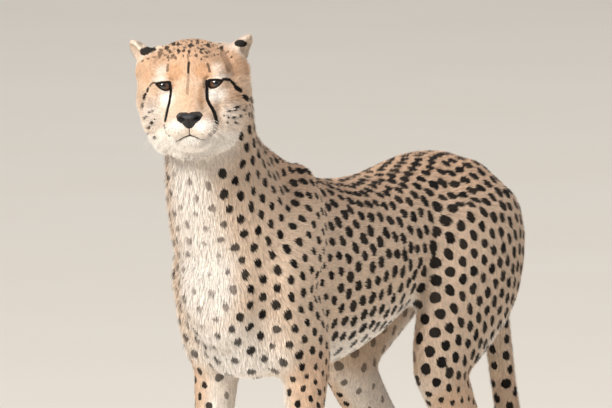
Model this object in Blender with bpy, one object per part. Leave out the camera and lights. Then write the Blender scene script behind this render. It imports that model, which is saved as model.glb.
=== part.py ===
"""A cheetah as a still, life-size museum model, standing square with its head turned to its left.

Metres, +Z up, the animal faces -Y and its left side is +X. The body is shaped whole from lofted and
rounded masses, fused into one skin, and then parted with thin cuts into the parts that have names.
"""

import math
from dataclasses import dataclass

import bmesh
import bpy
from mathutils import Matrix, Vector

# ---------------------------------------------------------------- driving dimensions
EYE_HEIGHT = 0.920
EYE_SPACING = 0.073
EYE_RADIUS = 0.0150
EYE_DEPTH = 0.0030
LID = 0.0030
EYE_OPENING = (0.0124, 0.0200, 0.0072)
HEAD_PLACE = Vector((0.045, -0.507, EYE_HEIGHT))
HEAD_TURN = math.radians(27)
HEAD_TILT = math.radians(-3)
HEAD_NOD = math.radians(-4)
TAIL_LENGTH = 0.72
TAIL_CUTS = {"tail_tip": 9, "tail_middle": 5, "tail_base": 1}
STRIDE = {"fore_left": 0.000, "fore_right": -0.018, "hind_left": -0.030, "hind_right": 0.030}

FORE_CUT = 0.070
HIND_CUT = 0.066
WRIST_CUT = 0.215
# length and radius at the root
CLAW = (0.0150, 0.0030)
DEWCLAW = (0.0190, 0.0034)
CLAW_ROOM = 0.0004
SOCKET_ROOM = 0.0006

GAP = 0.0003
CREASE = math.radians(50)
BODY_VOXEL = 0.0060
HEAD_VOXEL = 0.0026
FOOT_VOXEL = 0.0028
BODY_FACES = 2220
HEAD_FACES = 2080
FOOT_FACES = 250
CUTTER_REACH = 1.0

SIDES = {"left": 1, "right": -1}


# ---------------------------------------------------------------- scene and materials
def clear_scene():
    """Removes whatever the file opened with."""
    for obj in list(bpy.data.objects):
        bpy.data.objects.remove(obj)


def material(name, colour, roughness):
    """A Principled material of one colour."""
    made = bpy.data.materials.new(name)
    made.use_nodes = True
    shader = made.node_tree.nodes["Principled BSDF"]
    shader.inputs["Base Color"].default_value = (*colour, 1)
    shader.inputs["Roughness"].default_value = roughness
    shader.inputs["Metallic"].default_value = 0
    return made


# ---------------------------------------------------------------- building masses
@dataclass(frozen=True)
class Ring:
    """One oval section of a limb or of the trunk: where its middle is, and its two half sizes."""

    x: float
    y: float
    z: float
    half_width: float
    half_depth: float

    def values(self):
        """The section as one vector, to be blended with others."""
        return Vector((self.x, self.y, self.z, self.half_width, self.half_depth))


def trunk_ring(y, top, bottom, half_width):
    """A section of the trunk between the line of the back and the line of the belly."""
    return Ring(0, y, (top + bottom) / 2, half_width, (top - bottom) / 2)


def smooth_path(rings, steps):
    """The rings' values with blended ones between them, on a Catmull-Rom curve."""
    knots = [ring.values() for ring in rings]
    knots = [2 * knots[0] - knots[1], *knots, 2 * knots[-1] - knots[-2]]
    path = []
    for before, start, end, after in zip(knots, knots[1:], knots[2:], knots[3:]):
        for step in range(steps):
            t = step / steps
            bend = (2 * before - 5 * start + 4 * end - after) * t * t
            turn = (3 * start - before - 3 * end + after) * t * t * t
            path.append((2 * start + (end - before) * t + bend + turn) / 2)
    return [*path, knots[-2]]


def rounded_ends(path, roundness=0.8):
    """The path with a dome of shrinking sections added at each end."""
    domed = list(path)
    for end, beside in ((-1, -2), (0, 1)):
        last = path[end]
        outward = (Vector(last[:3]) - Vector(path[beside][:3])).normalized()
        reach = roundness * min(last[3], last[4])
        cap = []
        for angle in (30, 55, 75):
            out = outward * reach * math.sin(math.radians(angle))
            shrink = math.cos(math.radians(angle))
            centre = Vector(last[:3]) + out
            cap.append(Vector((*centre, last[3] * shrink, last[4] * shrink)))
        domed = [*domed, *cap] if end == -1 else [*reversed(cap), *domed]
    return domed


def loft(rings, sides=20, steps=3, across=Vector((1, 0, 0)), domed=True):
    """A closed mass through the rings, whose sections stand square to the line of their middles."""
    path = smooth_path(rings, steps)
    path = rounded_ends(path) if domed else path
    mass = bmesh.new()
    loops = []
    for index, here in enumerate(path):
        behind, ahead = path[max(index - 1, 0)], path[min(index + 1, len(path) - 1)]
        along = (Vector(ahead[:3]) - Vector(behind[:3])).normalized()
        side = (across - across.dot(along) * along).normalized()
        deep = along.cross(side)
        loop = []
        for corner in range(sides):
            angle = math.tau * corner / sides
            out = side * here[3] * math.cos(angle) + deep * here[4] * math.sin(angle)
            loop.append(mass.verts.new(Vector(here[:3]) + out))
        loops.append(loop)
    for loop, following in zip(loops, loops[1:]):
        for corner in range(sides):
            beside = (corner + 1) % sides
            mass.faces.new((loop[corner], loop[beside], following[beside], following[corner]))
    mass.faces.new(reversed(loops[0]))
    mass.faces.new(loops[-1])
    bmesh.ops.recalc_face_normals(mass, faces=mass.faces)
    return mass


def ball(centre, radii, turn=Matrix.Identity(3), detail=3):
    """A rounded mass with its own half sizes along its turned axes."""
    mass = bmesh.new()
    place = Matrix.Translation(centre) @ turn.to_4x4() @ Matrix.Diagonal((*radii, 1))
    bmesh.ops.create_icosphere(mass, subdivisions=detail, radius=1, matrix=place)
    return mass


def joined(masses):
    """Several masses in one mesh, still crossing each other."""
    whole = bpy.data.meshes.new("masses")
    together = bmesh.new()
    for mass in masses:
        mass.to_mesh(whole)
        together.from_mesh(whole)
        mass.free()
    together.to_mesh(whole)
    together.free()
    return whole


def evaluated(mesh, *modifiers):
    """The mesh after modifiers, each a (type, settings) pair."""
    helper = bpy.data.objects.new("helper", mesh)
    bpy.context.scene.collection.objects.link(helper)
    for kind, settings in modifiers:
        modifier = helper.modifiers.new(kind, kind)
        for setting, value in settings.items():
            setattr(modifier, setting, value)
    graph = bpy.context.evaluated_depsgraph_get()
    made = bpy.data.meshes.new_from_object(helper.evaluated_get(graph))
    bpy.data.objects.remove(helper)
    return made


def fused(masses, voxel, smoothing, faces):
    """One closed skin over all the masses, with their joins smoothed, in about that many faces."""
    fine = evaluated(
        joined(masses),
        ("REMESH", {"mode": "VOXEL", "voxel_size": voxel}),
        ("SMOOTH", {"factor": 0.5, "iterations": smoothing}),
        ("TRIANGULATE", {}),
    )
    return evaluated(fine, ("DECIMATE", {"ratio": faces / len(fine.polygons)}))


# ---------------------------------------------------------------- cutting
def one_side(mesh, point, normal):
    """What lies on the side that the normal leaves, closed over the cut and clear of it by half a gap."""
    kept = bmesh.new()
    kept.from_mesh(mesh)
    bmesh.ops.bisect_plane(
        kept,
        geom=[*kept.verts, *kept.edges, *kept.faces],
        plane_co=point - normal.normalized() * GAP / 2,
        plane_no=normal,
        clear_outer=True,
    )
    rim = [edge for edge in kept.edges if edge.is_boundary]
    bmesh.ops.holes_fill(kept, edges=rim)
    bmesh.ops.triangulate(kept, faces=[face for face in kept.faces if len(face.verts) > 4])
    made = bpy.data.meshes.new("side")
    kept.to_mesh(made)
    kept.free()
    return made


def sliced(mesh, point, normal):
    """The mesh on the near side of a cut and on its far side, where the normal points."""
    return one_side(mesh, point, normal), one_side(mesh, point, -normal)


def cutter(name, shape):
    """A hidden object that a Boolean takes its shape from."""
    mesh = bpy.data.meshes.new(name)
    shape.to_mesh(mesh)
    shape.free()
    made = bpy.data.objects.new(name, mesh)
    made.hide_render = True
    made.display_type = "WIRE"
    bpy.context.scene.collection.objects.link(made)
    return made


def block(low, high, place=Matrix.Identity(4), grow=0.0):
    """A box between two corners in a frame of its own."""
    low, high = Vector(low) - Vector((grow,) * 3), Vector(high) + Vector((grow,) * 3)
    shape = bmesh.new()
    size = Matrix.Diagonal((*(high - low), 1))
    bmesh.ops.create_cube(shape, size=1, matrix=place @ Matrix.Translation((low + high) / 2) @ size)
    return shape


def boolean(mesh, tool, operation):
    """The mesh after one exact Boolean with the tool."""
    bpy.context.view_layer.update()
    return evaluated(mesh, ("BOOLEAN", {"operation": operation, "object": tool, "solver": "EXACT"}))


def wedge(walls, grow=0.0):
    """A convex shape behind all of its walls, each a point and the direction it faces."""
    shape = bmesh.new()
    bmesh.ops.create_cube(shape, size=2 * CUTTER_REACH)
    for point, normal in walls:
        bmesh.ops.bisect_plane(
            shape,
            geom=[*shape.verts, *shape.edges, *shape.faces],
            plane_co=point + normal.normalized() * grow,
            plane_no=normal,
            clear_outer=True,
        )
        bmesh.ops.holes_fill(shape, edges=[edge for edge in shape.edges if edge.is_boundary])
    bmesh.ops.recalc_face_normals(shape, faces=shape.faces)
    return shape


def parted(mesh, name, walls):
    """What lies behind all of the walls, and the rest of the mesh, a gap apart."""
    inside = boolean(mesh, cutter(f"{name}_wedge", wedge(walls)), "INTERSECT")
    grown = cutter(f"{name}_room", wedge(walls, grow=GAP))
    return inside, boolean(mesh, grown, "DIFFERENCE")


def taken(mesh, name, low, high, place=Matrix.Identity(4)):
    """What lies in a box, and the rest of the mesh, a gap apart."""
    inside = boolean(mesh, cutter(f"{name}_box", block(low, high, place)), "INTERSECT")
    grown = cutter(f"{name}_room", block(low, high, place, grow=GAP))
    return inside, boolean(mesh, grown, "DIFFERENCE")


def largest_piece(mesh):
    """The mesh without the crumbs that a cut through a fold can leave."""
    kept = bmesh.new()
    kept.from_mesh(mesh)
    pieces = []
    unseen = set(kept.verts)
    while unseen:
        piece, edge_of_it = set(), [unseen.pop()]
        while edge_of_it:
            vert = edge_of_it.pop()
            piece.add(vert)
            beside = {edge.other_vert(vert) for edge in vert.link_edges} & unseen
            unseen -= beside
            edge_of_it.extend(beside)
        pieces.append(piece)
    crumbs = [vert for piece in sorted(pieces, key=len)[:-1] for vert in piece]
    bmesh.ops.delete(kept, geom=crumbs, context="VERTS")
    made = bpy.data.meshes.new("piece")
    kept.to_mesh(made)
    kept.free()
    return made


def node(name, mesh, finish):
    """A named part in the scene with its finish."""
    mesh = largest_piece(mesh)
    mesh.name = name
    mesh.materials.clear()
    mesh.materials.append(finish)
    mesh.shade_smooth()
    mesh.set_sharp_from_angle(angle=CREASE)
    bpy.context.scene.collection.objects.link(bpy.data.objects.new(name, mesh))


# ---------------------------------------------------------------- trunk, neck and tail
def trunk_mass():
    """The barrel of the chest, the tucked waist and the croup."""
    barrel = [
        trunk_ring(-0.342, 0.722, 0.524, 0.070),
        trunk_ring(-0.295, 0.762, 0.492, 0.084),
        trunk_ring(-0.230, 0.780, 0.478, 0.089),
        trunk_ring(-0.150, 0.770, 0.472, 0.093),
        trunk_ring(-0.070, 0.756, 0.480, 0.097),
        trunk_ring(0.010, 0.752, 0.500, 0.096),
        trunk_ring(0.090, 0.755, 0.532, 0.088),
        trunk_ring(0.160, 0.764, 0.560, 0.081),
        trunk_ring(0.230, 0.773, 0.575, 0.083),
        trunk_ring(0.300, 0.768, 0.580, 0.087),
        trunk_ring(0.362, 0.746, 0.600, 0.076),
        trunk_ring(0.408, 0.712, 0.630, 0.050),
    ]
    return loft(barrel, sides=28)


def neck_masses():
    """The neck from inside the shoulders to inside the skull, and the crest behind it."""
    column = [
        Ring(0.000, -0.225, 0.548, 0.080, 0.112),
        Ring(0.000, -0.246, 0.602, 0.085, 0.126),
        Ring(0.000, -0.272, 0.655, 0.087, 0.121),
        Ring(0.000, -0.316, 0.710, 0.085, 0.098),
        Ring(0.003, -0.354, 0.765, 0.075, 0.086),
        Ring(0.010, -0.385, 0.815, 0.066, 0.076),
        Ring(0.018, -0.408, 0.862, 0.062, 0.068),
        Ring(0.026, -0.432, 0.902, 0.056, 0.058),
    ]
    crest = [
        Ring(0.024, -0.398, 0.922, 0.048, 0.038),
        Ring(0.018, -0.371, 0.882, 0.049, 0.041),
        Ring(0.010, -0.355, 0.838, 0.046, 0.040),
        Ring(0.006, -0.305, 0.795, 0.050, 0.042),
        Ring(0.002, -0.245, 0.765, 0.056, 0.044),
        Ring(0.000, -0.185, 0.742, 0.060, 0.036),
        Ring(0.000, -0.120, 0.726, 0.056, 0.030),
    ]
    return [loft(column, sides=24), loft(crest, sides=20)]


def tail_path(grow=0.0):
    """The tail's sections: it falls from the croup, then lifts again towards its full tip."""
    rings = [Ring(0.0, 0.362, 0.702, 0.034 + grow, 0.032 + grow)]
    place = Vector((rings[0].x, rings[0].y, rings[0].z))
    count = 12
    for step in range(1, count + 1):
        share = step / count
        fall = math.radians(-32 - 55 * math.sin(math.pi * share**0.9) + 40 * share**2)
        place += Vector((0.03, math.cos(fall), math.sin(fall))) * TAIL_LENGTH / count
        radius = 0.0205 + 0.0100 * (1 - share) ** 3 + 0.0035 * share**3 + grow
        rings.append(Ring(*place, radius, radius))
    return rings


# ---------------------------------------------------------------- legs
def stepped(rings, side, stride, top):
    """A leg's sections on one side of the body, its foot set forward or back by the stride."""
    made = []
    for ring in rings:
        share = max(0.0, 1 - ring.z / top)
        place = (ring.x * side, ring.y + stride * min(1.0, share * 1.25), ring.z)
        made.append(Ring(*place, ring.half_width, ring.half_depth))
    return made


SHOULDER_BLADE = [
    Ring(0.036, -0.178, 0.768, 0.018, 0.034),
    Ring(0.060, -0.212, 0.722, 0.028, 0.054),
    Ring(0.075, -0.258, 0.665, 0.033, 0.062),
    Ring(0.075, -0.288, 0.610, 0.031, 0.052),
]
UPPER_ARM = [
    Ring(0.072, -0.288, 0.616, 0.032, 0.046),
    Ring(0.072, -0.256, 0.560, 0.034, 0.062),
    Ring(0.072, -0.230, 0.510, 0.032, 0.058),
    Ring(0.073, -0.222, 0.470, 0.028, 0.042),
]
FORE_TOP = 0.600
FOREARM = [
    Ring(0.073, -0.232, 0.520, 0.030, 0.050),
    Ring(0.073, -0.230, 0.465, 0.030, 0.042),
    Ring(0.072, -0.236, 0.400, 0.028, 0.034),
    Ring(0.070, -0.244, 0.320, 0.0235, 0.0265),
    Ring(0.069, -0.250, 0.240, 0.0215, 0.0225),
    Ring(0.068, -0.250, 0.195, 0.0240, 0.0250),
    Ring(0.068, -0.248, 0.155, 0.0220, 0.0230),
    Ring(0.068, -0.253, 0.105, 0.0225, 0.0215),
    Ring(0.068, -0.264, 0.060, 0.0255, 0.0235),
    Ring(0.068, -0.276, 0.036, 0.0280, 0.0240),
]
HIND_TOP = 0.640
THIGH = [
    Ring(0.040, 0.290, 0.732, 0.034, 0.062),
    Ring(0.053, 0.288, 0.704, 0.044, 0.098),
    Ring(0.068, 0.284, 0.665, 0.053, 0.126),
    Ring(0.077, 0.254, 0.605, 0.052, 0.130),
    Ring(0.082, 0.207, 0.545, 0.044, 0.104),
    Ring(0.084, 0.164, 0.490, 0.038, 0.074),
    Ring(0.084, 0.146, 0.455, 0.034, 0.055),
]
SHANK = [
    Ring(0.084, 0.146, 0.470, 0.034, 0.052),
    Ring(0.083, 0.190, 0.415, 0.031, 0.048),
    Ring(0.081, 0.246, 0.358, 0.0265, 0.038),
    Ring(0.078, 0.302, 0.300, 0.0215, 0.027),
    Ring(0.076, 0.340, 0.252, 0.0205, 0.0245),
    Ring(0.076, 0.350, 0.222, 0.0215, 0.0270),
]
HOCK = [
    Ring(0.076, 0.340, 0.262, 0.0160, 0.0200),
    Ring(0.076, 0.356, 0.238, 0.0205, 0.0270),
    Ring(0.076, 0.349, 0.195, 0.0205, 0.0250),
    Ring(0.076, 0.340, 0.145, 0.0195, 0.0205),
    Ring(0.076, 0.331, 0.095, 0.0205, 0.0195),
    Ring(0.076, 0.320, 0.058, 0.0240, 0.0215),
    Ring(0.076, 0.308, 0.036, 0.0260, 0.0225),
]


@dataclass(frozen=True)
class Foot:
    """A paw: the place of its palm, its half sizes, and how its four toes spread."""

    palm: Vector
    half_width: float
    half_length: float
    height: float
    toe_width: float
    toe_length: float
    toe_height: float = 0.0200
    toe_lag: float = 0.0130

    def toe_places(self):
        """(middle of the toe, its turn about Z) for the four toes, from the inner to the outer one."""
        for column in (-1.5, -0.5, 0.5, 1.5):
            across = column * self.half_width * 0.50
            lag = self.toe_lag if abs(column) > 1 else 0.0
            middle = self.palm + Vector((across, -self.half_length * 0.84 + lag, -0.008))
            yield middle, math.radians(-7) * column

    def masses(self):
        """The palm and the toes as rounded masses that reach a little below the floor."""
        palm = ball(self.palm, (self.half_width, self.half_length, self.height))
        toes = []
        for middle, turn in self.toe_places():
            half = (self.toe_width, self.toe_length, self.toe_height)
            toes.append(ball(middle, half, Matrix.Rotation(-turn, 3, "Z")))
        return [palm, *toes]


def fore_foot(side, stride):
    """The front paw of one side."""
    return Foot(Vector((0.068 * side, -0.292 + stride, 0.0255)), 0.0320, 0.0460, 0.0300, 0.0118, 0.0240)


def hind_foot(side, stride):
    """The hind paw of one side."""
    return Foot(Vector((0.076 * side, 0.284 + stride, 0.0245)), 0.0300, 0.0450, 0.0285, 0.0112, 0.0230)


def leg_masses(side):
    """Both legs of one side from their muscles in the trunk down to the ankle."""
    fore = STRIDE["fore_left" if side > 0 else "fore_right"]
    hind = STRIDE["hind_left" if side > 0 else "hind_right"]
    fore_parts = (SHOULDER_BLADE, UPPER_ARM, FOREARM)
    hind_parts = (THIGH, SHANK, HOCK)
    masses = [loft(stepped(part, side, fore, FORE_TOP), sides=16) for part in fore_parts]
    masses += [loft(stepped(part, side, hind, HIND_TOP), sides=16) for part in hind_parts]
    return masses


def claw(root, along, length, radius, grow=0.0):
    """A horn claw that curves down to a point, from a root inside the toe."""
    rings = []
    steps = 3
    place = Vector(root)
    for step in range(steps + 1):
        share = step / steps
        droop = math.radians(8 + 52 * share)
        thick = radius * (1 - share) ** 0.7 + 0.0006 + grow
        rings.append(Ring(*place, thick * 0.8, thick))
        place += (along * math.cos(droop) - Vector((0, 0, math.sin(droop)))) * length / steps
    return loft(rings, sides=6, steps=1, across=along.cross(Vector((0, 0, 1))), domed=False)


# ---------------------------------------------------------------- head
def head_frame():
    """The head's own frame: its origin midway between the eyes, +Y towards the back of the skull."""
    turn = Matrix.Rotation(HEAD_TURN, 4, "Z")
    nod = Matrix.Rotation(HEAD_NOD, 4, "X")
    tilt = Matrix.Rotation(HEAD_TILT, 4, "Y")
    return Matrix.Translation(HEAD_PLACE) @ turn @ nod @ tilt


def skull_masses():
    """The head's bone and muscle in the head's own frame."""
    back_head = [
        Ring(0, 0.030, -0.006, 0.0640, 0.0600),
        Ring(0, 0.062, -0.003, 0.0670, 0.0650),
        Ring(0, 0.092, -0.008, 0.0590, 0.0580),
        Ring(0, 0.112, -0.014, 0.0450, 0.0450),
    ]
    bridge = [
        Ring(0, -0.045, -0.0440, 0.0160, 0.0100),
        Ring(0, -0.031, -0.0310, 0.0175, 0.0120),
        Ring(0, -0.018, -0.0150, 0.0205, 0.0130),
        Ring(0, -0.006, 0.0000, 0.0260, 0.0140),
        Ring(0, 0.010, 0.0150, 0.0300, 0.0160),
    ]
    muzzle = [
        Ring(0, -0.047, -0.055, 0.0210, 0.0150),
        Ring(0, -0.036, -0.055, 0.0310, 0.0200),
        Ring(0, -0.018, -0.053, 0.0350, 0.0260),
        Ring(0, 0.004, -0.048, 0.0420, 0.0340),
    ]
    jaw = [
        Ring(0, -0.037, -0.078, 0.0180, 0.0110),
        Ring(0, -0.024, -0.079, 0.0230, 0.0135),
        Ring(0, 0.000, -0.074, 0.0340, 0.0200),
        Ring(0, 0.034, -0.062, 0.0480, 0.0300),
    ]
    masses = [loft(rings) for rings in (back_head, bridge, muzzle, jaw)]
    masses.append(ball((0, 0.050, -0.004), (0.070, 0.056, 0.062)))
    masses.append(ball((0, 0.024, 0.020), (0.042, 0.037, 0.038)))
    masses.append(ball((0, 0.058, 0.026), (0.058, 0.046, 0.040)))
    masses.append(ball((0, -0.0520, -0.0475), (0.0195, 0.0115, 0.0115)))
    masses.append(ball((0, 0.046, -0.085), (0.041, 0.036, 0.026)))
    for side in SIDES.values():
        masses.append(ball((EYE_SPACING / 2 * side, EYE_DEPTH, 0), (EYE_RADIUS + LID,) * 3))
        masses.append(ball((0.049 * side, 0.046, -0.012), (0.031, 0.040, 0.042)))
        masses.append(ball((0.055 * side, 0.053, 0.020), (0.026, 0.033, 0.030)))
        masses.append(ball((0.043 * side, 0.066, 0.034), (0.025, 0.026, 0.024)))
        masses.append(ball((0.042 * side, 0.042, -0.040), (0.031, 0.039, 0.040)))
        masses.append(ball((0.033 * side, 0.044, -0.062), (0.032, 0.040, 0.036)))
        masses.append(ball((0.046 * side, 0.013, -0.0190), (0.021, 0.021, 0.0170)))
        masses.append(ball((0.044 * side, 0.017, -0.0390), (0.023, 0.022, 0.0230)))
        masses.append(ball((0.024 * side, -0.006, -0.0300), (0.016, 0.018, 0.0260)))
        masses.append(ball((0.0175 * side, -0.040, -0.0600), (0.0200, 0.0200, 0.0165)))
        masses.append(ball((0.033 * side, 0.009, 0.0190), (0.024, 0.018, 0.0110)))
    return masses


def ear_frame(side):
    """An ear's frame in the head's: +Z along the ear to its tip, -Y out of its mouth."""
    place = Matrix.Translation((0.0670 * side, 0.062, 0.040))
    lean = Matrix.Rotation(math.radians(38) * side, 4, "Y")
    back = Matrix.Rotation(math.radians(-16), 4, "X")
    turn = Matrix.Rotation(math.radians(66) * side, 4, "Z")
    return place @ lean @ back @ turn


EAR = [
    Ring(0, 0, -0.030, 0.0220, 0.0170),
    Ring(0, 0, -0.008, 0.0245, 0.0170),
    Ring(0, 0, 0.012, 0.0205, 0.0130),
    Ring(0, 0, 0.028, 0.0115, 0.0080),
]
EAR_WALL = 0.0050


def ear_mass(side):
    """The cup of one ear in the head's frame: a pointed shell, open at the front."""
    shell = bpy.data.meshes.new("ear")
    outer = loft(EAR)
    outer.to_mesh(shell)
    outer.free()
    cup = [Ring(0, -0.009, ring.z, ring.half_width - EAR_WALL, ring.half_depth) for ring in EAR]
    hollow = cutter("ear_hollow", loft(cup))
    whole = boolean(shell, hollow, "DIFFERENCE")
    whole.transform(ear_frame(side))
    bpy.data.objects.remove(hollow)
    made = bmesh.new()
    made.from_mesh(whole)
    return made


def placed(masses, frame):
    """The masses carried from a frame of their own into the body's."""
    for mass in masses:
        mass.transform(frame)
    return masses


# ---------------------------------------------------------------- the whole animal
def build_head(finishes):
    """Head, jaw, nose, ears and eyes, parted from one skin, and the plane of the neck's cut."""
    frame = head_frame()
    ears = [ear_mass(side) for side in SIDES.values()]
    masses = placed([*skull_masses(), *ears], frame)
    head = fused([*masses, *neck_masses()], HEAD_VOXEL, 8, HEAD_FACES)

    nape = frame @ Vector((0, 0.090, -0.045))
    towards_neck = frame.to_3x3() @ Vector((0, 0.70, -0.71))
    head = one_side(head, nape, towards_neck)

    for name, side in SIDES.items():
        low, high = (-0.05, -0.05, -0.004), (0.05, 0.05, 0.06)
        ear, head = taken(head, f"ear_{name}", low, high, frame @ ear_frame(side))
        node(f"ear_{name}", ear, finishes["coat"])

    walls = [
        (frame @ Vector(point), frame.to_3x3() @ Vector(normal))
        for point, normal in (
            ((0, -0.0510, -0.047), (0, 1, 0)),
            ((0, -0.0550, -0.0360), (0, 0.3, 1)),
            ((0, -0.0550, -0.0620), (0, 0, -1)),
            ((0.0200, -0.055, -0.0440), (1, 0, 0.25)),
            ((-0.0200, -0.055, -0.0440), (-1, 0, 0.25)),
            ((0.0200, -0.055, -0.0460), (0.75, 0, -0.66)),
            ((-0.0200, -0.055, -0.0460), (-0.75, 0, -0.66)),
        )
    ]
    tip, head = parted(head, "nose", walls)
    node("nose", tip, finishes["nose"])
    mouth = [
        (frame @ Vector(point), frame.to_3x3() @ Vector(normal))
        for point, normal in (
            ((0, -0.0600, -0.0715), (0, -0.07, 1)),
            ((0, 0.0120, -0.0750), (0, 1, 0.2)),
            ((0.0310, 0, -0.0715), (1, 0, 0.4)),
            ((-0.0310, 0, -0.0715), (-1, 0, 0.4)),
        )
    ]
    jaw, head = parted(head, "jaw", mouth)
    node("jaw", jaw, finishes["coat"])

    for name, side in SIDES.items():
        centre = frame @ Vector((EYE_SPACING / 2 * side, EYE_DEPTH, 0))
        socket = bmesh.new()
        eye = bmesh.new()
        opening = ball((EYE_SPACING / 2 * side, EYE_DEPTH - EYE_RADIUS, -0.0006), EYE_OPENING, detail=2)
        opening.transform(frame)
        head = boolean(head, cutter(f"eye_{name}_opening", opening), "DIFFERENCE")
        for shape, radius in ((eye, EYE_RADIUS), (socket, EYE_RADIUS + SOCKET_ROOM)):
            place = Matrix.Translation(centre) @ frame.to_3x3().to_4x4()
            bmesh.ops.create_uvsphere(shape, u_segments=12, v_segments=8, radius=radius, matrix=place)
        head = boolean(head, cutter(f"eye_{name}_socket", socket), "DIFFERENCE")
        mesh = bpy.data.meshes.new(f"eye_{name}")
        eye.to_mesh(mesh)
        node(f"eye_{name}", mesh, finishes["eye"])
    node("head", head, finishes["coat"])
    return nape, towards_neck


def build_foot(name, foot, ankle, cut, finishes):
    """A paw with its claws, cut from the leg above at the height of the cut."""
    whole = fused([*foot.masses(), ankle], FOOT_VOXEL, 4, FOOT_FACES)
    whole = one_side(whole, Vector((0, 0, cut)), Vector((0, 0, 1)))
    whole = one_side(whole, Vector((0, 0, -GAP / 2)), Vector((0, 0, -1)))
    for number, (middle, turn) in enumerate(foot.toe_places(), start=1):
        ahead = Vector((-math.sin(turn), -math.cos(turn), 0))
        root = middle + ahead * foot.toe_length * 0.72 + Vector((0, 0, 0.006))
        horn = claw(root, ahead, *CLAW)
        room = cutter(f"{name}_claw_room", claw(root, ahead, *CLAW, grow=CLAW_ROOM))
        whole = boolean(whole, room, "DIFFERENCE")
        mesh = bpy.data.meshes.new("claw")
        horn.to_mesh(mesh)
        node(f"claw_{name}_{number}", mesh, finishes["claw"])
    node(f"paw_{name}", whole, finishes["coat"])


def build_body(finishes, nape, towards_neck):
    """Neck, trunk, legs and tail, parted from one skin."""
    tail_stub = loft(tail_path()[:2], sides=14)
    masses = [trunk_mass(), *neck_masses(), tail_stub]
    for side in SIDES.values():
        masses += leg_masses(side)
    whole = fused(masses, BODY_VOXEL, 10, BODY_FACES)
    whole = one_side(whole, nape, -towards_neck)

    rump, along = tail_cut(TAIL_CUTS["tail_base"])
    tail_room = one_side(joined([loft(tail_path(grow=GAP), sides=10, steps=1)]), rump, -along)
    tail_shape = bmesh.new()
    tail_shape.from_mesh(tail_room)
    whole = boolean(whole, cutter("tail_room", tail_shape), "DIFFERENCE")

    for name, side in SIDES.items():
        groin = (Vector((0.002 * side, 0.300, 0)), Vector((-0.985 * side, -0.17, 0)))
        hip = (Vector((0, 0.250, 0.575)), Vector((-0.70 * side, -0.20, 0.70)))
        flank = (Vector((0, 0.084, 0.500)), Vector((0, -0.94, 0.34)))
        leg, whole = parted(whole, f"hind_{name}", (groin, hip, flank))
        leg = one_side(leg, Vector((0, 0, HIND_CUT)), Vector((0, 0, -1)))
        knee, hock = Vector((0, 0.160, 0.447)), Vector((0, 0.345, 0.245))
        lower, thigh = sliced(leg, knee, Vector((0, -0.15, 0.99)))
        shin, foot = sliced(lower, hock, Vector((0, 0.30, -0.95)))
        node(f"thigh_{name}", thigh, finishes["coat"])
        node(f"shank_{name}", shin, finishes["coat"])
        node(f"hock_{name}", foot, finishes["coat"])

        inner = (Vector((0.002 * side, 0, 0)), Vector((-side, 0, 0)))
        armpit = (Vector((0, -0.230, 0.455)), Vector((-0.55 * side, -0.10, 0.83)))
        behind = (Vector((0, -0.170, 0.470)), Vector((0, 0.99, 0.10)))
        leg, whole = parted(whole, f"fore_{name}", (inner, armpit, behind))
        leg = one_side(leg, Vector((0, 0, FORE_CUT)), Vector((0, 0, -1)))
        wrist, forearm = sliced(leg, Vector((0, 0, WRIST_CUT)), Vector((0, 0, 1)))
        root = Vector((0.0495 * side, -0.262 + STRIDE[f"fore_{name}"], 0.098))
        ahead = Vector((-0.22 * side, -0.97, 0)).normalized()
        horn = bpy.data.meshes.new("claw")
        claw(root, ahead, *DEWCLAW).to_mesh(horn)
        room = cutter(f"dewclaw_{name}_room", claw(root, ahead, *DEWCLAW, grow=CLAW_ROOM))
        node(f"dewclaw_{name}", horn, finishes["claw"])
        node(f"forearm_{name}", forearm, finishes["coat"])
        node(f"wrist_{name}", boolean(wrist, room, "DIFFERENCE"), finishes["coat"])

    for name, side in SIDES.items():
        for end, foot_of, part, top, cut in (
            ("fore", fore_foot, FOREARM, FORE_TOP, FORE_CUT),
            ("hind", hind_foot, HOCK, HIND_TOP, HIND_CUT),
        ):
            stride = STRIDE[f"{end}_{name}"]
            ankle = loft(stepped(part, side, stride, top)[-5:], sides=16)
            build_foot(f"{end}_{name}", foot_of(side, stride), ankle, cut, finishes)

    neck_base = Vector((0, -0.345, 0.745))
    whole, neck = sliced(whole, neck_base, Vector((0, -0.60, 0.80)))
    node("neck", neck, finishes["coat"])

    build_tail(finishes)
    node("trunk", whole, finishes["coat"])


def tail_cut(index):
    """Where the tail is parted at one of its sections: a point, and the tail's direction there."""
    here, ahead = tail_path()[index : index + 2]
    along = Vector((ahead.x - here.x, ahead.y - here.y, ahead.z - here.z))
    return Vector((here.x, here.y, here.z)), along


def build_tail(finishes):
    """The tail in three lengths, from its tip to the croup."""
    rest = joined([loft(tail_path(), sides=10, steps=1)])
    for name, index in TAIL_CUTS.items():
        point, along = tail_cut(index)
        clear = along.normalized() * GAP if name == "tail_base" else Vector()
        rest, length = sliced(rest, point + clear, along)
        node(name, length, finishes["coat"])


def centre_on_floor():
    """Moves every part so that the middle of the whole footprint is at the origin."""
    parts = [obj for obj in bpy.data.objects if not obj.hide_render]
    corners = [vert.co for part in parts for vert in part.data.vertices]
    middle = [(min(c[axis] for c in corners) + max(c[axis] for c in corners)) / 2 for axis in (0, 1)]
    for part in parts:
        part.data.transform(Matrix.Translation((-middle[0], -middle[1], 0)))


def main():
    """Builds the whole animal in an empty scene."""
    clear_scene()
    finishes = {
        "coat": material("coat", (0.62, 0.43, 0.25), 0.80),
        "nose": material("nose", (0.02, 0.018, 0.02), 0.35),
        "eye": material("eye", (0.16, 0.06, 0.02), 0.08),
        "claw": material("claw", (0.05, 0.04, 0.035), 0.40),
    }
    nape, towards_neck = build_head(finishes)
    build_body(finishes, nape, towards_neck)
    centre_on_floor()


main()
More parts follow.
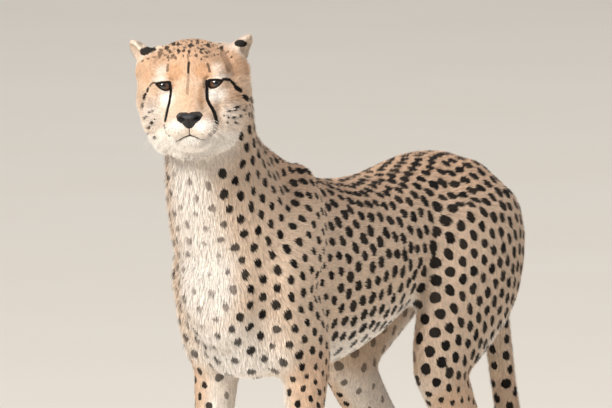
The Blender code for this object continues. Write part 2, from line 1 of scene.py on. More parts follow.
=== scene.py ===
"""Looks of a life-size cheetah: one skin over its flesh, a coat of mesh tufts with its markings, eyes, nose,
whiskers, claws, and the light it stands in.

Metres, +Z up. The animal faces -Y and its left side is +X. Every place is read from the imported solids.
"""

import logging
import math
from collections.abc import Iterable, Sequence
from dataclasses import dataclass, field
from enum import Enum

import bmesh
import bpy
import numpy as np
from mathutils import Matrix, Vector
from mathutils.bvhtree import BVHTree
from mathutils.kdtree import KDTree


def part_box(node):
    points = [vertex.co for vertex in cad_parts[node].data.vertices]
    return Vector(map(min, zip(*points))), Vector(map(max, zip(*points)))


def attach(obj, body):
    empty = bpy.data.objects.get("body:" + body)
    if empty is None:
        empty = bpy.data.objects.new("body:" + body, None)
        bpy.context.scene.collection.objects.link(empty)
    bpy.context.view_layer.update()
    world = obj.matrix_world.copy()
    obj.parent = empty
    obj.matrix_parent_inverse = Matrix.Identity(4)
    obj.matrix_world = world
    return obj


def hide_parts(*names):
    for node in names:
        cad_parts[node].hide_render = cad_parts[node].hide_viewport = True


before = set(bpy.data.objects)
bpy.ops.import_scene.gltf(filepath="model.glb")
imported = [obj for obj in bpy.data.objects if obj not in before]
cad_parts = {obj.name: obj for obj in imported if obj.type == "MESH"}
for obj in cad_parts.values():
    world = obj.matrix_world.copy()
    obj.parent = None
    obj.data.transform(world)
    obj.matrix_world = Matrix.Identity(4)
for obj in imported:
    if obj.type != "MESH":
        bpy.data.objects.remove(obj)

log = logging.getLogger("cheetah")
logging.basicConfig(level=logging.INFO, format="%(message)s")

SIDES = {"left": 1, "right": -1}
ENDS = ("fore", "hind")
MILLIMETRE = 0.001
CENTIMETRE = 0.01

Colour = tuple[float, float, float]
Point = tuple[float, float]


def linear(red: int, green: int, blue: int) -> Colour:
    """The scene's linear colour of three screen values from 0 to 255."""
    shares = (value / 255 for value in (red, green, blue))
    return tuple(s / 12.92 if s <= 0.04045 else ((s + 0.055) / 1.055) ** 2.4 for s in shares)


def ramp(values: np.ndarray, low: float, high: float) -> np.ndarray:
    """A smooth climb from 0 at low to 1 at high, or the other way round where high is below low.

    Args:
        values: numbers of any shape.
        low: where the climb starts.
        high: where it ends.

    Returns:
        Shares from 0 to 1, in the shape of values.
    """
    share = np.clip((values - low) / (high - low), 0, 1)
    return share * share * (3 - 2 * share)


def blend(start: np.ndarray, end: np.ndarray | float, share: np.ndarray) -> np.ndarray:
    """start where share is 0, end where it is 1, and a mix between."""
    return start + (end - start) * share


def unit(vectors: np.ndarray) -> np.ndarray:
    """Rows of vectors, each made one long."""
    return vectors / np.maximum(np.linalg.norm(vectors, axis=-1, keepdims=True), 1e-9)


def points_of(mesh: bpy.types.Mesh) -> np.ndarray:
    """A mesh's points as rows."""
    points = np.empty(len(mesh.vertices) * 3)
    mesh.vertices.foreach_get("co", points)
    return points.reshape(-1, 3)


def tree_of(points: np.ndarray) -> KDTree:
    """A tree that finds the nearest of the points."""
    tree = KDTree(len(points))
    for index, point in enumerate(points):
        tree.insert(point, index)
    tree.balance()
    return tree


def line_distance(x: np.ndarray, z: np.ndarray, start: Point, end: Point) -> np.ndarray:
    """How far places are from the straight line between two points."""
    (ax, az), (bx, bz) = start, end
    length = max((bx - ax) ** 2 + (bz - az) ** 2, 1e-12)
    share = np.clip(((x - ax) * (bx - ax) + (z - az) * (bz - az)) / length, 0, 1)
    return np.hypot(x - ax - share * (bx - ax), z - az - share * (bz - az))


# ---------------------------------------------------------------- shader graphs
@dataclass(frozen=True)
class Value:
    """What one socket gives, as something that takes arithmetic."""

    graph: "Graph"
    socket: bpy.types.NodeSocket

    def _math(self, operation: str, first: "Value | float", second: "Value | float") -> "Value":
        """One Math node on two numbers."""
        return self.graph.node("ShaderNodeMath", {"operation": operation}, {0: first, 1: second})

    def __add__(self, other: "Value | float") -> "Value":
        """The sum."""
        return self._math("ADD", self, other)

    __radd__ = __add__

    def __sub__(self, other: "Value | float") -> "Value":
        """The difference."""
        return self._math("SUBTRACT", self, other)

    def __rsub__(self, other: "Value | float") -> "Value":
        """The difference, from a plain number."""
        return self._math("SUBTRACT", other, self)

    def __mul__(self, other: "Value | float") -> "Value":
        """The product."""
        return self._math("MULTIPLY", self, other)

    __rmul__ = __mul__

    def step(self, low: float, high: float) -> "Value":
        """0 up to low, 1 from high, and a smooth climb between them."""
        settings = {"interpolation_type": "SMOOTHSTEP"}
        inputs = {"Value": self, "From Min": low, "From Max": high}
        return self.graph.node("ShaderNodeMapRange", settings, inputs)


class Graph:
    """A material under construction, and the few node recipes that its finish needs."""

    def __init__(self, name: str) -> None:
        """Starts an empty Principled material of that name."""
        self.material = bpy.data.materials.new(name)
        self.material.use_nodes = True
        self.tree = self.material.node_tree
        self.shader = self.tree.nodes["Principled BSDF"]

    def node(
        self, kind: str, settings: dict | None = None, inputs: dict | None = None, output: str | int = 0
    ) -> Value:
        """Adds one node.

        Args:
            kind: the node's type.
            settings: its own options, set first.
            inputs: values or Value links for its sockets, by name or number.
            output: the socket that is handed back.

        Returns:
            What that socket gives.
        """
        made = self.tree.nodes.new(kind)
        for setting, value in (settings or {}).items():
            setattr(made, setting, value)
        for name, value in (inputs or {}).items():
            self.feed(made.inputs[name], value)
        return Value(self, made.outputs[output])

    def feed(self, socket: bpy.types.NodeSocket, value: "Value | float | Sequence[float]") -> None:
        """Links a Value to a socket, or sets a plain value on it."""
        if isinstance(value, Value):
            self.tree.links.new(value.socket, socket)
        elif socket.type == "RGBA" and len(value) == 3:
            socket.default_value = (*value, 1)
        else:
            socket.default_value = value

    def attribute(self, name: str) -> Value:
        """A number stored on the mesh."""
        return self.node("ShaderNodeAttribute", {"attribute_name": name}, output="Fac")

    def place(self, stretch: Sequence[float] = (1, 1, 1)) -> Value:
        """Where a point is on the object, with its axes stretched for a pattern that follows them."""
        here = self.node("ShaderNodeTexCoord", output="Object")
        return self.node("ShaderNodeVectorMath", {"operation": "MULTIPLY"}, {0: here, 1: stretch})

    def noise(self, scale: float, stretch: Sequence[float] = (1, 1, 1), detail: float = 2) -> Value:
        """Cloudy noise around 0.5, in waves per metre."""
        inputs = {"Vector": self.place(stretch), "Scale": scale, "Detail": detail}
        return self.node("ShaderNodeTexNoise", None, inputs)

    def mix(self, start: "Value | Colour", end: "Value | Colour", share: "Value | float") -> Value:
        """A colour between two."""
        made = self.tree.nodes.new("ShaderNodeMix")
        made.data_type = "RGBA"
        self.feed(made.inputs["Factor"], share)
        self.feed(next(s for s in made.inputs if s.identifier == "A_Color"), start)
        self.feed(next(s for s in made.inputs if s.identifier == "B_Color"), end)
        return Value(self, next(s for s in made.outputs if s.identifier == "Result_Color"))

    def scaled(self, colour: "Value | Colour", amount: Value) -> Value:
        """A colour made lighter or darker."""
        return self.node("ShaderNodeVectorMath", {"operation": "SCALE"}, {0: colour, "Scale": amount})

    def bump(self, height: Value, depth: float, strength: float = 1.0) -> Value:
        """A surface direction from a height between 0 and 1 that stands for depth metres."""
        return self.node("ShaderNodeBump", None, {"Height": height, "Distance": depth, "Strength": strength})

    def finish(self, **sockets: "Value | float | Sequence[float]") -> bpy.types.Material:
        """Sets the shader's sockets by their names, with _ for a space.

        Args:
            sockets: a value or a Value link for each.

        Returns:
            The finished material.
        """
        for name, value in sockets.items():
            self.feed(self.shader.inputs[name.replace("_", " ")], value)
        return self.material


# ---------------------------------------------------------------- finishes
@dataclass(frozen=True)
class CoatFinish:
    """Fur in its own colours with the dark marks on it, plus painted shade at the tufts' roots and in a few
    marks of the face. Skin and tufts share it.
    """

    cream: Colour = linear(222, 200, 178)
    tan: Colour = linear(199, 157, 122)
    white: Colour = linear(240, 234, 227)
    dark: Colour = linear(17, 13, 12)
    faint: Colour = linear(78, 54, 40)
    pad: Colour = linear(62, 52, 48)
    edge: float = 0.5

    def material(self, name: str, fibrous: bool) -> bpy.types.Material:
        """Makes the finish.

        Args:
            name: the material's name.
            fibrous: whether the surface needs the relief of lying hair, as the bare skin does.

        Returns:
            The material.
        """
        graph = Graph(name)
        hair_back = graph.noise(420, (1, 0.16, 1), 3)
        hair_down = graph.noise(420, (1, 1, 0.16), 3)
        downward = graph.attribute("downward")
        hair = hair_back * (1 - downward) + hair_down * downward
        cloud = graph.noise(22, detail=3)

        base = graph.mix(self.cream, self.tan, graph.attribute("tan"))
        base = graph.mix(base, self.white, graph.attribute("white"))
        # The shade attribute holds each tuft's random lightness, with painted shade towards its root; on the
        # skin it is one value.
        lightness = graph.attribute("shade") * (0.94 + 0.12 * cloud)
        base = graph.scaled(base, lightness * (0.86 + 0.26 * hair.step(0.36, 0.64)))

        ragged = graph.attribute("mark") + (hair - 0.5) * 0.9
        ink = graph.attribute("ink")
        marked = (1 - ragged.step(-self.edge, self.edge)) * ink
        base = graph.mix(base, graph.mix(self.faint, self.dark, ink.step(0.5, 0.9)), marked)
        base = graph.mix(base, self.pad, graph.attribute("pad"))
        sockets = {
            "Base_Color": base,
            "Roughness": 0.62 + 0.24 * hair,
            "Specular_IOR_Level": 0.14,
            "Sheen_Weight": 0.04,
            "Sheen_Roughness": 0.5,
        }
        if fibrous:
            sockets["Normal"] = graph.bump(hair, 0.0012, 0.7)
        return graph.finish(**sockets)


@dataclass(frozen=True)
class EyeFinish:
    """A wet eye: a round pupil in an amber-brown iris with a dark rim. The ring attribute is in mm."""

    iris: Colour = linear(74, 47, 30)
    iris_deep: Colour = linear(34, 21, 15)
    rim: Colour = linear(12, 10, 9)
    pupil: float = 3.3
    iris_edge: float = 10.2

    def material(self, name: str) -> bpy.types.Material:
        """The finish as a material of that name."""
        graph = Graph(name)
        ring = graph.attribute("ring")
        rays = graph.noise(900, detail=4)
        iris = graph.mix(self.iris_deep, self.iris, (ring + (rays - 0.5) * 3.0).step(3.0, 6.4))
        iris = graph.mix(iris, self.iris_deep, ring.step(8.0, 10.0))
        iris = graph.mix(self.rim, iris, ring.step(self.pupil - 0.3, self.pupil + 0.3))
        iris = graph.mix(iris, self.rim, ring.step(self.iris_edge - 0.8, self.iris_edge + 0.3))
        roughness = 0.16 + 0.05 * rays
        return graph.finish(Base_Color=iris, Roughness=roughness, Coat_Weight=0.35, Coat_Roughness=0.03)


@dataclass(frozen=True)
class NoseFinish:
    """Bare black nose leather: a fine pebble, moist on its crown."""

    dark: Colour = linear(17, 15, 17)
    worn: Colour = linear(46, 42, 46)

    def material(self, name: str) -> bpy.types.Material:
        """The finish as a material of that name."""
        graph = Graph(name)
        inputs = {"Vector": graph.place(), "Scale": 900.0}
        pebble = graph.node("ShaderNodeTexVoronoi", {"feature": "F1"}, inputs, "Distance")
        cloud = graph.noise(160, detail=3)
        colour = graph.mix(self.dark, self.worn, cloud.step(0.45, 0.75) * 0.6)
        relief = graph.bump(1 - pebble, 0.0005, 0.6)
        shine = {"Roughness": 0.36 + 0.22 * cloud, "Specular_IOR_Level": 0.35, "Coat_Weight": 0.12}
        return graph.finish(Base_Color=colour, Normal=relief, **shine)


@dataclass(frozen=True)
class ClawFinish:
    """Dark horn with a paler, worn point."""

    dark: Colour = linear(46, 38, 34)
    pale: Colour = linear(128, 112, 96)

    def material(self, name: str) -> bpy.types.Material:
        """The finish as a material of that name."""
        graph = Graph(name)
        streak = graph.noise(500, (1, 0.2, 1), 3)
        colour = graph.mix(self.dark, self.pale, streak.step(0.5, 0.8))
        normal = graph.bump(streak, 0.0003)
        return graph.finish(Base_Color=colour, Roughness=0.30 + 0.2 * streak, Normal=normal)


@dataclass(frozen=True)
class WhiskerFinish:
    """Stiff white hair."""

    colour: Colour = linear(244, 240, 232)
    root: Colour = linear(214, 204, 190)

    def material(self, name: str) -> bpy.types.Material:
        """The finish as a material of that name."""
        graph = Graph(name)
        streak = graph.noise(300)
        colour = graph.mix(self.root, self.colour, streak)
        return graph.finish(Base_Color=colour, Roughness=0.4 + 0.1 * streak)


@dataclass(frozen=True)
class FloorFinish:
    """A pale, even studio floor."""

    pale: Colour = linear(244, 236, 224)
    warm: Colour = linear(240, 230, 215)

    def material(self, name: str) -> bpy.types.Material:
        """The finish as a material of that name."""
        graph = Graph(name)
        cloud = graph.noise(1.3, detail=2)
        return graph.finish(Base_Color=graph.mix(self.pale, self.warm, cloud), Roughness=0.8 + 0.1 * cloud)


# ---------------------------------------------------------------- meshes as arrays
class Surface:
    """A triangle mesh as arrays, with what a smooth field over it needs."""

    def __init__(self, mesh: bpy.types.Mesh) -> None:
        """Reads the mesh's points and triangles."""
        self.points = points_of(mesh)
        mesh.calc_loop_triangles()
        self.faces = np.empty(len(mesh.loop_triangles) * 3, dtype=np.int64)
        mesh.loop_triangles.foreach_get("vertices", self.faces)
        self.faces = self.faces.reshape(-1, 3)
        pairs = np.sort(np.vstack((self.faces[:, :2], self.faces[:, 1:], self.faces[:, ::2])), axis=1)
        self.edges = np.unique(pairs, axis=0)
        self.degree = np.maximum(np.bincount(self.edges.ravel(), minlength=len(self.points)), 1)

    def cross(self) -> np.ndarray:
        """Each triangle's direction, twice its area long."""
        a, b, c = (self.points[self.faces[:, corner]] for corner in range(3))
        return np.cross(b - a, c - a)

    def tree(self) -> BVHTree:
        """A tree that finds places on the surface."""
        return BVHTree.FromPolygons(self.points.tolist(), self.faces.tolist())

    def normals(self) -> np.ndarray:
        """The direction out of the surface at each point."""
        cross = self.cross()
        total = np.zeros_like(self.points)
        for corner in range(3):
            for axis in range(3):
                total[:, axis] += np.bincount(self.faces[:, corner], cross[:, axis], len(self.points))
        return unit(total)

    def slope(self, values: np.ndarray, way: np.ndarray) -> np.ndarray:
        """How fast a field climbs along a direction at each point.

        Args:
            values: one number for each point.
            way: a direction for each point.

        Returns:
            The climb for each metre.
        """
        cross = self.cross()
        a, b, c = (self.points[self.faces[:, corner]] for corner in range(3))
        climb = sum(
            values[self.faces[:, corner], None] * np.cross(cross, edge)
            for corner, edge in enumerate((c - b, a - c, b - a))
        )
        size = np.maximum(np.sum(cross * cross, axis=1), 1e-24)
        climb /= size[:, None]
        total, weight = np.zeros(len(values)), np.zeros(len(values))
        for corner in range(3):
            at = self.faces[:, corner]
            total += np.bincount(at, np.sum(climb * way[at], axis=1) * size**0.5, len(values))
            weight += np.bincount(at, size**0.5, len(values))
        return total / np.maximum(weight, 1e-12)

    def smoothed(self, values: np.ndarray, rounds: int, share: float = 1.0) -> np.ndarray:
        """Values that move towards the mean of their neighbours'.

        Args:
            values: one number or one row for each point.
            rounds: how many times they move.
            share: how far they move each time.

        Returns:
            The smoothed values, in the same shape.
        """
        made = values.reshape(len(values), -1).astype(float)
        first, second = self.edges.T
        for _ in range(rounds):
            mean = np.empty_like(made)
            for column in range(made.shape[1]):
                total = np.bincount(first, made[second, column], len(made))
                total += np.bincount(second, made[first, column], len(made))
                mean[:, column] = total / self.degree
            made += (mean - made) * share
        return made.reshape(values.shape)


@dataclass(frozen=True)
class Centreline:
    """The middle line of a long part, read from slices across its points."""

    knots: np.ndarray
    lengths: np.ndarray

    @classmethod
    def through(cls, points: np.ndarray, along: Sequence[float], slices: int) -> "Centreline":
        """Finds the line.

        Args:
            points: the part's points.
            along: a direction in which the whole part runs on.
            slices: how many slices are read.

        Returns:
            The line through the slices' middles.
        """
        run = points @ unit(np.array(along, float))
        marks = np.linspace(run.min(), run.max() + 1e-6, slices + 1)
        which = np.digitize(run, marks) - 1
        middles = [points[which == index].mean(axis=0) for index in range(slices) if np.any(which == index)]
        knots = np.array(middles)
        knots = np.vstack((2 * knots[0] - knots[1], knots, 2 * knots[-1] - knots[-2]))
        steps = np.linalg.norm(np.diff(knots, axis=0), axis=1)
        return cls(knots, np.concatenate(([0.0], np.cumsum(steps))))

    def locate(self, points: np.ndarray) -> tuple[np.ndarray, np.ndarray, np.ndarray]:
        """Finds where points stand beside the line.

        Args:
            points: rows of points.

        Returns:
            For each, how far along the line it is, the line's direction there, and the offset from the line.
        """
        best = np.full(len(points), np.inf)
        along = np.zeros(len(points))
        heading = np.zeros((len(points), 3))
        offset = np.zeros((len(points), 3))
        for start, end, reached in zip(self.knots, self.knots[1:], self.lengths):
            span = end - start
            length = np.linalg.norm(span)
            share = np.clip((points - start) @ span / length**2, 0, 1)
            away = points - start - share[:, None] * span
            distance = np.linalg.norm(away, axis=1)
            nearer = distance < best
            best[nearer] = distance[nearer]
            along[nearer] = reached + share[nearer] * length
            heading[nearer] = span / length
            offset[nearer] = away[nearer]
        return along, heading, offset


class Bench:
    """Blender's operators, used on one object at a time."""

    @staticmethod
    def alone(obj: bpy.types.Object) -> None:
        """Selects only that object and makes it active."""
        for other in bpy.context.selected_objects:
            other.select_set(False)
        obj.select_set(True)
        bpy.context.view_layer.objects.active = obj

    @staticmethod
    def new(name: str, mesh: bpy.types.Mesh) -> bpy.types.Object:
        """Puts a mesh in the scene."""
        made = bpy.data.objects.new(name, mesh)
        bpy.context.scene.collection.objects.link(made)
        return made

    @classmethod
    def modify(cls, obj: bpy.types.Object, kind: str, **settings: object) -> None:
        """Adds a modifier and applies it."""
        cls.alone(obj)
        modifier = obj.modifiers.new(kind, kind)
        for setting, value in settings.items():
            setattr(modifier, setting, value)
        bpy.ops.object.modifier_apply(modifier=modifier.name)

    @classmethod
    def primitive(cls, name: str, operator: str, **settings: object) -> bpy.types.Object:
        """Adds a primitive at the origin of the scene, alone and selected."""
        if bpy.context.selected_objects:
            bpy.ops.object.select_all(action="DESELECT")
        getattr(bpy.ops.mesh, f"primitive_{operator}_add")(**settings)
        made = bpy.context.active_object
        made.name = name
        made.data.name = name
        return made

    @staticmethod
    def gathered(name: str, nodes: Iterable[str], swell: float = 0.0) -> bpy.types.Object:
        """Copies solids into one mesh whose loose triangles are merged.

        Args:
            name: the new object's name.
            nodes: the solids' names.
            swell: how far round solids, the eyes, grow so that they meet their sockets.

        Returns:
            The new object.
        """
        whole = bmesh.new()
        for node in nodes:
            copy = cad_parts[node].data.copy()
            if node.startswith("eye"):
                low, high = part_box(node)
                centre = (low + high) / 2
                size = 1 + swell / ((high - low).x / 2)
                grown = Matrix.Translation(centre) @ Matrix.Scale(size, 4) @ Matrix.Translation(-centre)
                copy.transform(grown)
            whole.from_mesh(copy)
            bpy.data.meshes.remove(copy)
        bmesh.ops.remove_doubles(whole, verts=whole.verts, dist=1e-6)
        mesh = bpy.data.meshes.new(name)
        whole.to_mesh(mesh)
        whole.free()
        return Bench.new(name, mesh)

    @staticmethod
    def turn_outward(mesh: bpy.types.Mesh) -> None:
        """Turns every face of a mesh out."""
        whole = bmesh.new()
        whole.from_mesh(mesh)
        bmesh.ops.recalc_face_normals(whole, faces=whole.faces)
        whole.to_mesh(mesh)
        whole.free()

    @staticmethod
    def dress(obj: bpy.types.Object, material: bpy.types.Material, slot: str) -> None:
        """Gives a finished piece its material, and lets it ride on the still body."""
        obj.data.materials.clear()
        obj.data.materials.append(material)
        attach(obj, "root")
        log.info("%s: %d faces", obj.name, len(obj.data.polygons))


def middle(node: str) -> np.ndarray:
    """The middle of a solid's box."""
    low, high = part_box(node)
    return np.array((low + high) / 2)


# ---------------------------------------------------------------- the head's own axes
@dataclass(frozen=True)
class HeadAxes:
    """The head's frame: from between the eyes, x to the animal's left, y to the back of the skull, z up."""

    origin: np.ndarray
    turn: np.ndarray

    @classmethod
    def read(cls, nod: float = math.radians(4)) -> "HeadAxes":
        """Finds the frame from the eyes.

        Args:
            nod: how far the face looks up.

        Returns:
            The frame.
        """
        left, right = middle("eye_left"), middle("eye_right")
        across = unit(left - right)
        level = unit(np.cross((0, 0, 1), across))
        rise = np.cross(across, level)
        back = math.cos(nod) * level - math.sin(nod) * rise
        return cls((left + right) / 2, np.array((across, back, np.cross(across, back))))

    def local(self, points: np.ndarray) -> np.ndarray:
        """Points in the head's frame."""
        return (points - self.origin) @ self.turn.T

    def world(self, points: np.ndarray) -> np.ndarray:
        """Points of the head's frame in the scene's."""
        return points @ self.turn + self.origin

    def direction(self, vectors: np.ndarray) -> np.ndarray:
        """Directions of the head's frame in the scene's."""
        return vectors @ self.turn


# ---------------------------------------------------------------- how the coat grows
@dataclass(frozen=True)
class Growth:
    """How the coat grows on one part: depth, length and width in millimetres, tufts for each square metre,
    how far the tips rise as a share of the length, the way the hair lies, and the spots' spacing
    and half sizes."""

    depth: float
    length: float
    width: float
    density: float
    rise: float
    lie: tuple[float, float, float]
    spacing: float
    along: float
    across: float

    def row(self) -> np.ndarray:
        """The numbers in one row."""
        plain = (self.depth, self.length, self.width, self.density, self.rise)
        return np.array((*plain, *self.lie, self.spacing, self.along, self.across))


GROWTH = {
    "head": Growth(1.6, 5.6, 0.85, 520e3, 0.28, (0.0, 1.0, 0.1), 7.4, 2.2, 1.7),
    "jaw": Growth(2.0, 7.0, 0.90, 500e3, 0.28, (0.0, 1.0, -0.4), 60.0, 1.0, 1.0),
    "ear": Growth(0.9, 6.0, 0.80, 620e3, 0.20, (0.0, 0.2, 1.0), 60.0, 1.0, 1.0),
    "neck": Growth(3.4, 12.0, 1.60, 240e3, 0.30, (0.0, 0.45, -0.9), 22.5, 8.4, 6.4),
    "trunk": Growth(3.0, 10.5, 1.60, 240e3, 0.28, (0.0, 1.0, -0.30), 25.0, 9.6, 8.8),
    "thigh": Growth(2.8, 10.0, 1.60, 245e3, 0.28, (0.0, 0.45, -1.0), 24.5, 9.0, 8.2),
    "forearm": Growth(2.4, 8.0, 1.40, 270e3, 0.25, (0.0, 0.20, -1.0), 19.0, 6.0, 4.8),
    "wrist": Growth(1.8, 6.5, 1.20, 290e3, 0.25, (0.0, 0.10, -1.0), 17.0, 4.4, 3.6),
    "shank": Growth(2.4, 8.5, 1.40, 270e3, 0.25, (0.0, 0.60, -1.0), 20.0, 6.4, 5.0),
    "hock": Growth(1.8, 6.5, 1.20, 290e3, 0.25, (0.0, -0.1, -1.0), 17.0, 4.4, 3.6),
    "paw": Growth(1.3, 4.8, 1.00, 300e3, 0.22, (0.0, -1.0, -0.6), 15.0, 3.0, 2.4),
    "tail_base": Growth(3.6, 12.0, 1.60, 235e3, 0.28, (0.0, 1.0, -1.0), 23.0, 7.8, 6.4),
    "tail_middle": Growth(3.8, 12.0, 1.60, 235e3, 0.30, (0.0, 1.0, -1.0), 22.0, 7.8, 6.6),
    "tail_tip": Growth(4.4, 14.0, 1.60, 240e3, 0.34, (0.0, 1.0, 0.0), 24.0, 7.6, 7.0),
}
GROWTH_FIELDS = (
    "depth", "length", "width", "density", "rise", "lie_x", "lie_y", "lie_z", "spacing", "along", "across",
)  # fmt: skip
PARTS = tuple(GROWTH)
NOT_FLESH = ("eye", "nose", "claw", "dewclaw")


def part_of(node: str) -> str:
    """The kind of part that a solid is, as GROWTH names it."""
    return next(part for part in sorted(PARTS, key=len, reverse=True) if node.startswith(part))


def flesh() -> list[str]:
    """The solids that the skin stands for."""
    return sorted(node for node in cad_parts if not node.startswith(NOT_FLESH))


# ---------------------------------------------------------------- lines and shapes on the face
@dataclass(frozen=True)
class Stroke:
    """A line on the face through points (x, z) in centimetres, its width in mm and how dark it is."""

    points: tuple[Point, ...]
    width: float
    ink: float = 1.0

    def distance(self, x: np.ndarray, z: np.ndarray) -> np.ndarray:
        """How far places on the face are from the line's middle, in metres."""
        best = np.full(len(x), np.inf)
        for start, end in zip(self.points, self.points[1:]):
            best = np.minimum(
                best, line_distance(x, z, np.array(start) * CENTIMETRE, np.array(end) * CENTIMETRE)
            )
        return best

    def outside(self, x: np.ndarray, z: np.ndarray) -> np.ndarray:
        """How far places on the face are outside the line's edge, in metres."""
        return self.distance(x, z) - self.width / 2 * MILLIMETRE


@dataclass(frozen=True)
class Patch:
    """An oval on the face: its middle and half sizes in centimetres, and its tilt in degrees."""

    x: float
    z: float
    half_x: float
    half_z: float
    tilt: float = 0.0

    def share(self, x: np.ndarray, z: np.ndarray) -> np.ndarray:
        """1 in the middle of the oval, 0 from its edge on."""
        angle = math.radians(self.tilt)
        dx, dz = x / CENTIMETRE - self.x, z / CENTIMETRE - self.z
        along = (dx * math.cos(angle) + dz * math.sin(angle)) / self.half_x
        across = (dz * math.cos(angle) - dx * math.sin(angle)) / self.half_z
        return 1 - ramp(np.hypot(along, across), 0.25, 1.0)


LID_OUTLINE = (
    (1.24, 0.42), (0.50, 0.62), (-0.30, 0.68), (-1.02, 0.60), (-1.12, 0.05), (-1.06, -0.45),
    (-0.78, -0.72), (-0.30, -0.78), (0.22, -0.62), (0.76, -0.24),
)  # fmt: skip
TEAR_LINES = (
    Stroke(
        ((2.45, 0.3), (2.42, -1.2), (2.48, -2.2), (2.75, -2.9), (3.1, -3.5), (3.35, -4.2), (3.6, -5.6)), 4.8
    ),
    Stroke(((3.55, -5.9), (3.35, -6.5), (3.0, -6.95), (2.6, -7.25)), 4.4, 0.62),
    Stroke(((-2.65, 0.0), (-2.70, -1.3), (-2.88, -2.3), (-3.2, -3.4), (-3.45, -4.3), (-3.68, -4.95)), 3.8),
    Stroke(((-3.88, -5.5), (-3.75, -6.2), (-3.5, -6.7), (-3.2, -7.1)), 3.2, 0.80),
)
FACE_LINES = (
    *TEAR_LINES,
    Stroke(((-0.12, 4.2), (0.05, 3.1)), 3.0, 0.55), Stroke(((0.05, 3.1), (-0.08, 1.5)), 3.6, 0.95),
    Stroke(((-0.08, 1.5), (-0.25, -1.2)), 4.0, 0.42),
    Stroke(((-2.92, 2.95), (-3.02, 2.1)), 3.8, 0.65), Stroke(((2.65, 2.8), (2.95, 1.7)), 3.4, 0.75),
    Stroke(((-2.6, 3.88), (-1.9, 3.88)), 3.2, 0.60), Stroke(((2.05, 3.82), (2.7, 3.82)), 2.8, 0.60),
    Stroke(((-4.8, 0.50), (-5.3, 0.42), (-5.7, 0.08)), 2.8, 0.85),
    Stroke(((4.8, 0.50), (5.5, 0.38), (5.95, -0.05), (6.3, -0.6)), 4.0),
    Stroke(((-5.97, -0.3), (-6.1, -0.65)), 3.8, 0.95), Stroke(((-6.4, -1.15), (-6.5, -1.7)), 4.6, 1.0),
    Stroke(((-6.7, -2.3), (-6.75, -3.0)), 3.6, 0.90),
    Stroke(((6.4, -0.8), (6.85, -1.2)), 6.0, 1.0), Stroke(((7.25, -2.0), (7.5, -2.4)), 5.8, 1.0),
    # Brown bands at the temples; the wide, darker one on the +x side is partly a brown band and partly
    # painted shade.
    Stroke(((4.65, 4.1), (5.2, 3.0), (5.6, 1.9)), 9.0, 0.48), Stroke(((5.7, 1.7), (6.0, 0.9)), 5.0, 0.25),
    Stroke(((-4.1, 4.9), (-4.2, 4.3)), 5.0, 0.70), Stroke(((-4.7, 4.0), (-5.0, 3.2)), 5.0, 0.20),
)
FACE_DOTS = (
    (-5.8, -3.6, 2.8), (-5.35, -3.5, 2.2), (-6.2, -4.1, 2.6), (-6.5, -4.4, 4.0), (-5.6, -5.05, 3.6),
    (-6.05, -5.7, 4.0), (-6.3, -6.6, 3.6), (-5.4, -7.2, 4.4), (-5.2, -4.6, 2.0),
    (6.2, -3.5, 4.0), (7.4, -3.45, 4.8), (6.95, -3.95, 3.6), (7.9, -4.1, 3.6), (5.4, -4.0, 2.6),
    (6.55, -4.7, 4.0), (5.85, -4.9, 3.4), (5.2, -4.9, 2.6),
    (7.2, -5.3, 4.6), (7.45, -6.0, 4.4), (6.6, -6.7, 4.6),
    (4.6, -4.6, 2.0), (5.0, -5.6, 2.2), (6.0, -5.6, 2.6), (7.9, -4.9, 3.4), (6.1, -3.9, 2.4),
    (-3.3, 5.3, 5.0), (-2.3, 5.8, 5.0), (-1.6, 5.7, 4.5),
    (-2.7, 4.7, 4.2), (-1.35, 4.75, 4.0), (0.2, 5.5, 5.5),
    (2.6, 5.4, 4.6), (3.0, 6.0, 5.0), (4.7, 5.5, 5.0), (4.4, 4.9, 5.0), (4.75, 4.1, 5.0), (1.75, 4.8, 3.2),
)  # fmt: skip
MOUTH = Stroke(
    ((-2.15, -7.86), (-1.6, -7.70), (-0.9, -7.36), (-0.1, -7.08), (0.6, -7.38), (1.2, -7.70), (1.8, -7.86)),
    1.8,
    0.9,
)
PHILTRUM = Stroke(((0.0, -6.0), (-0.1, -7.08)), 1.3)
WHISKER_ROWS = tuple(
    (side * (1.25 + 0.46 * column + 0.12 * row), -5.45 - 0.40 * row + 0.10 * column)
    for side in SIDES.values() for row in range(4) for column in range(5)
)
WHITE_PATCHES = (
    (0.40, Patch(-4.0, 1.8, 2.0, 1.1, 60)), (0.55, Patch(-4.2, 1.0, 1.7, 0.6)),
    (0.35, Patch(4.2, 1.75, 2.0, 1.1, -55)), (0.60, Patch(4.5, 1.0, 1.7, 0.6)),
    (0.85, Patch(-3.4, -1.7, 1.6, 2.5, -10)), (0.85, Patch(3.7, -1.5, 2.2, 1.8, -12)),
    (0.85, Patch(-1.9, -6.1, 2.6, 1.8)), (0.85, Patch(1.9, -6.1, 2.6, 1.8)),
    (1.0, Patch(0.0, -8.8, 5.0, 2.6)), (0.60, Patch(-5.4, -4.4, 2.6, 4.0)),
    (0.60, Patch(5.4, -5.2, 2.4, 3.4)), (1.0, Patch(0.0, -10.5, 7.0, 3.4)),
)
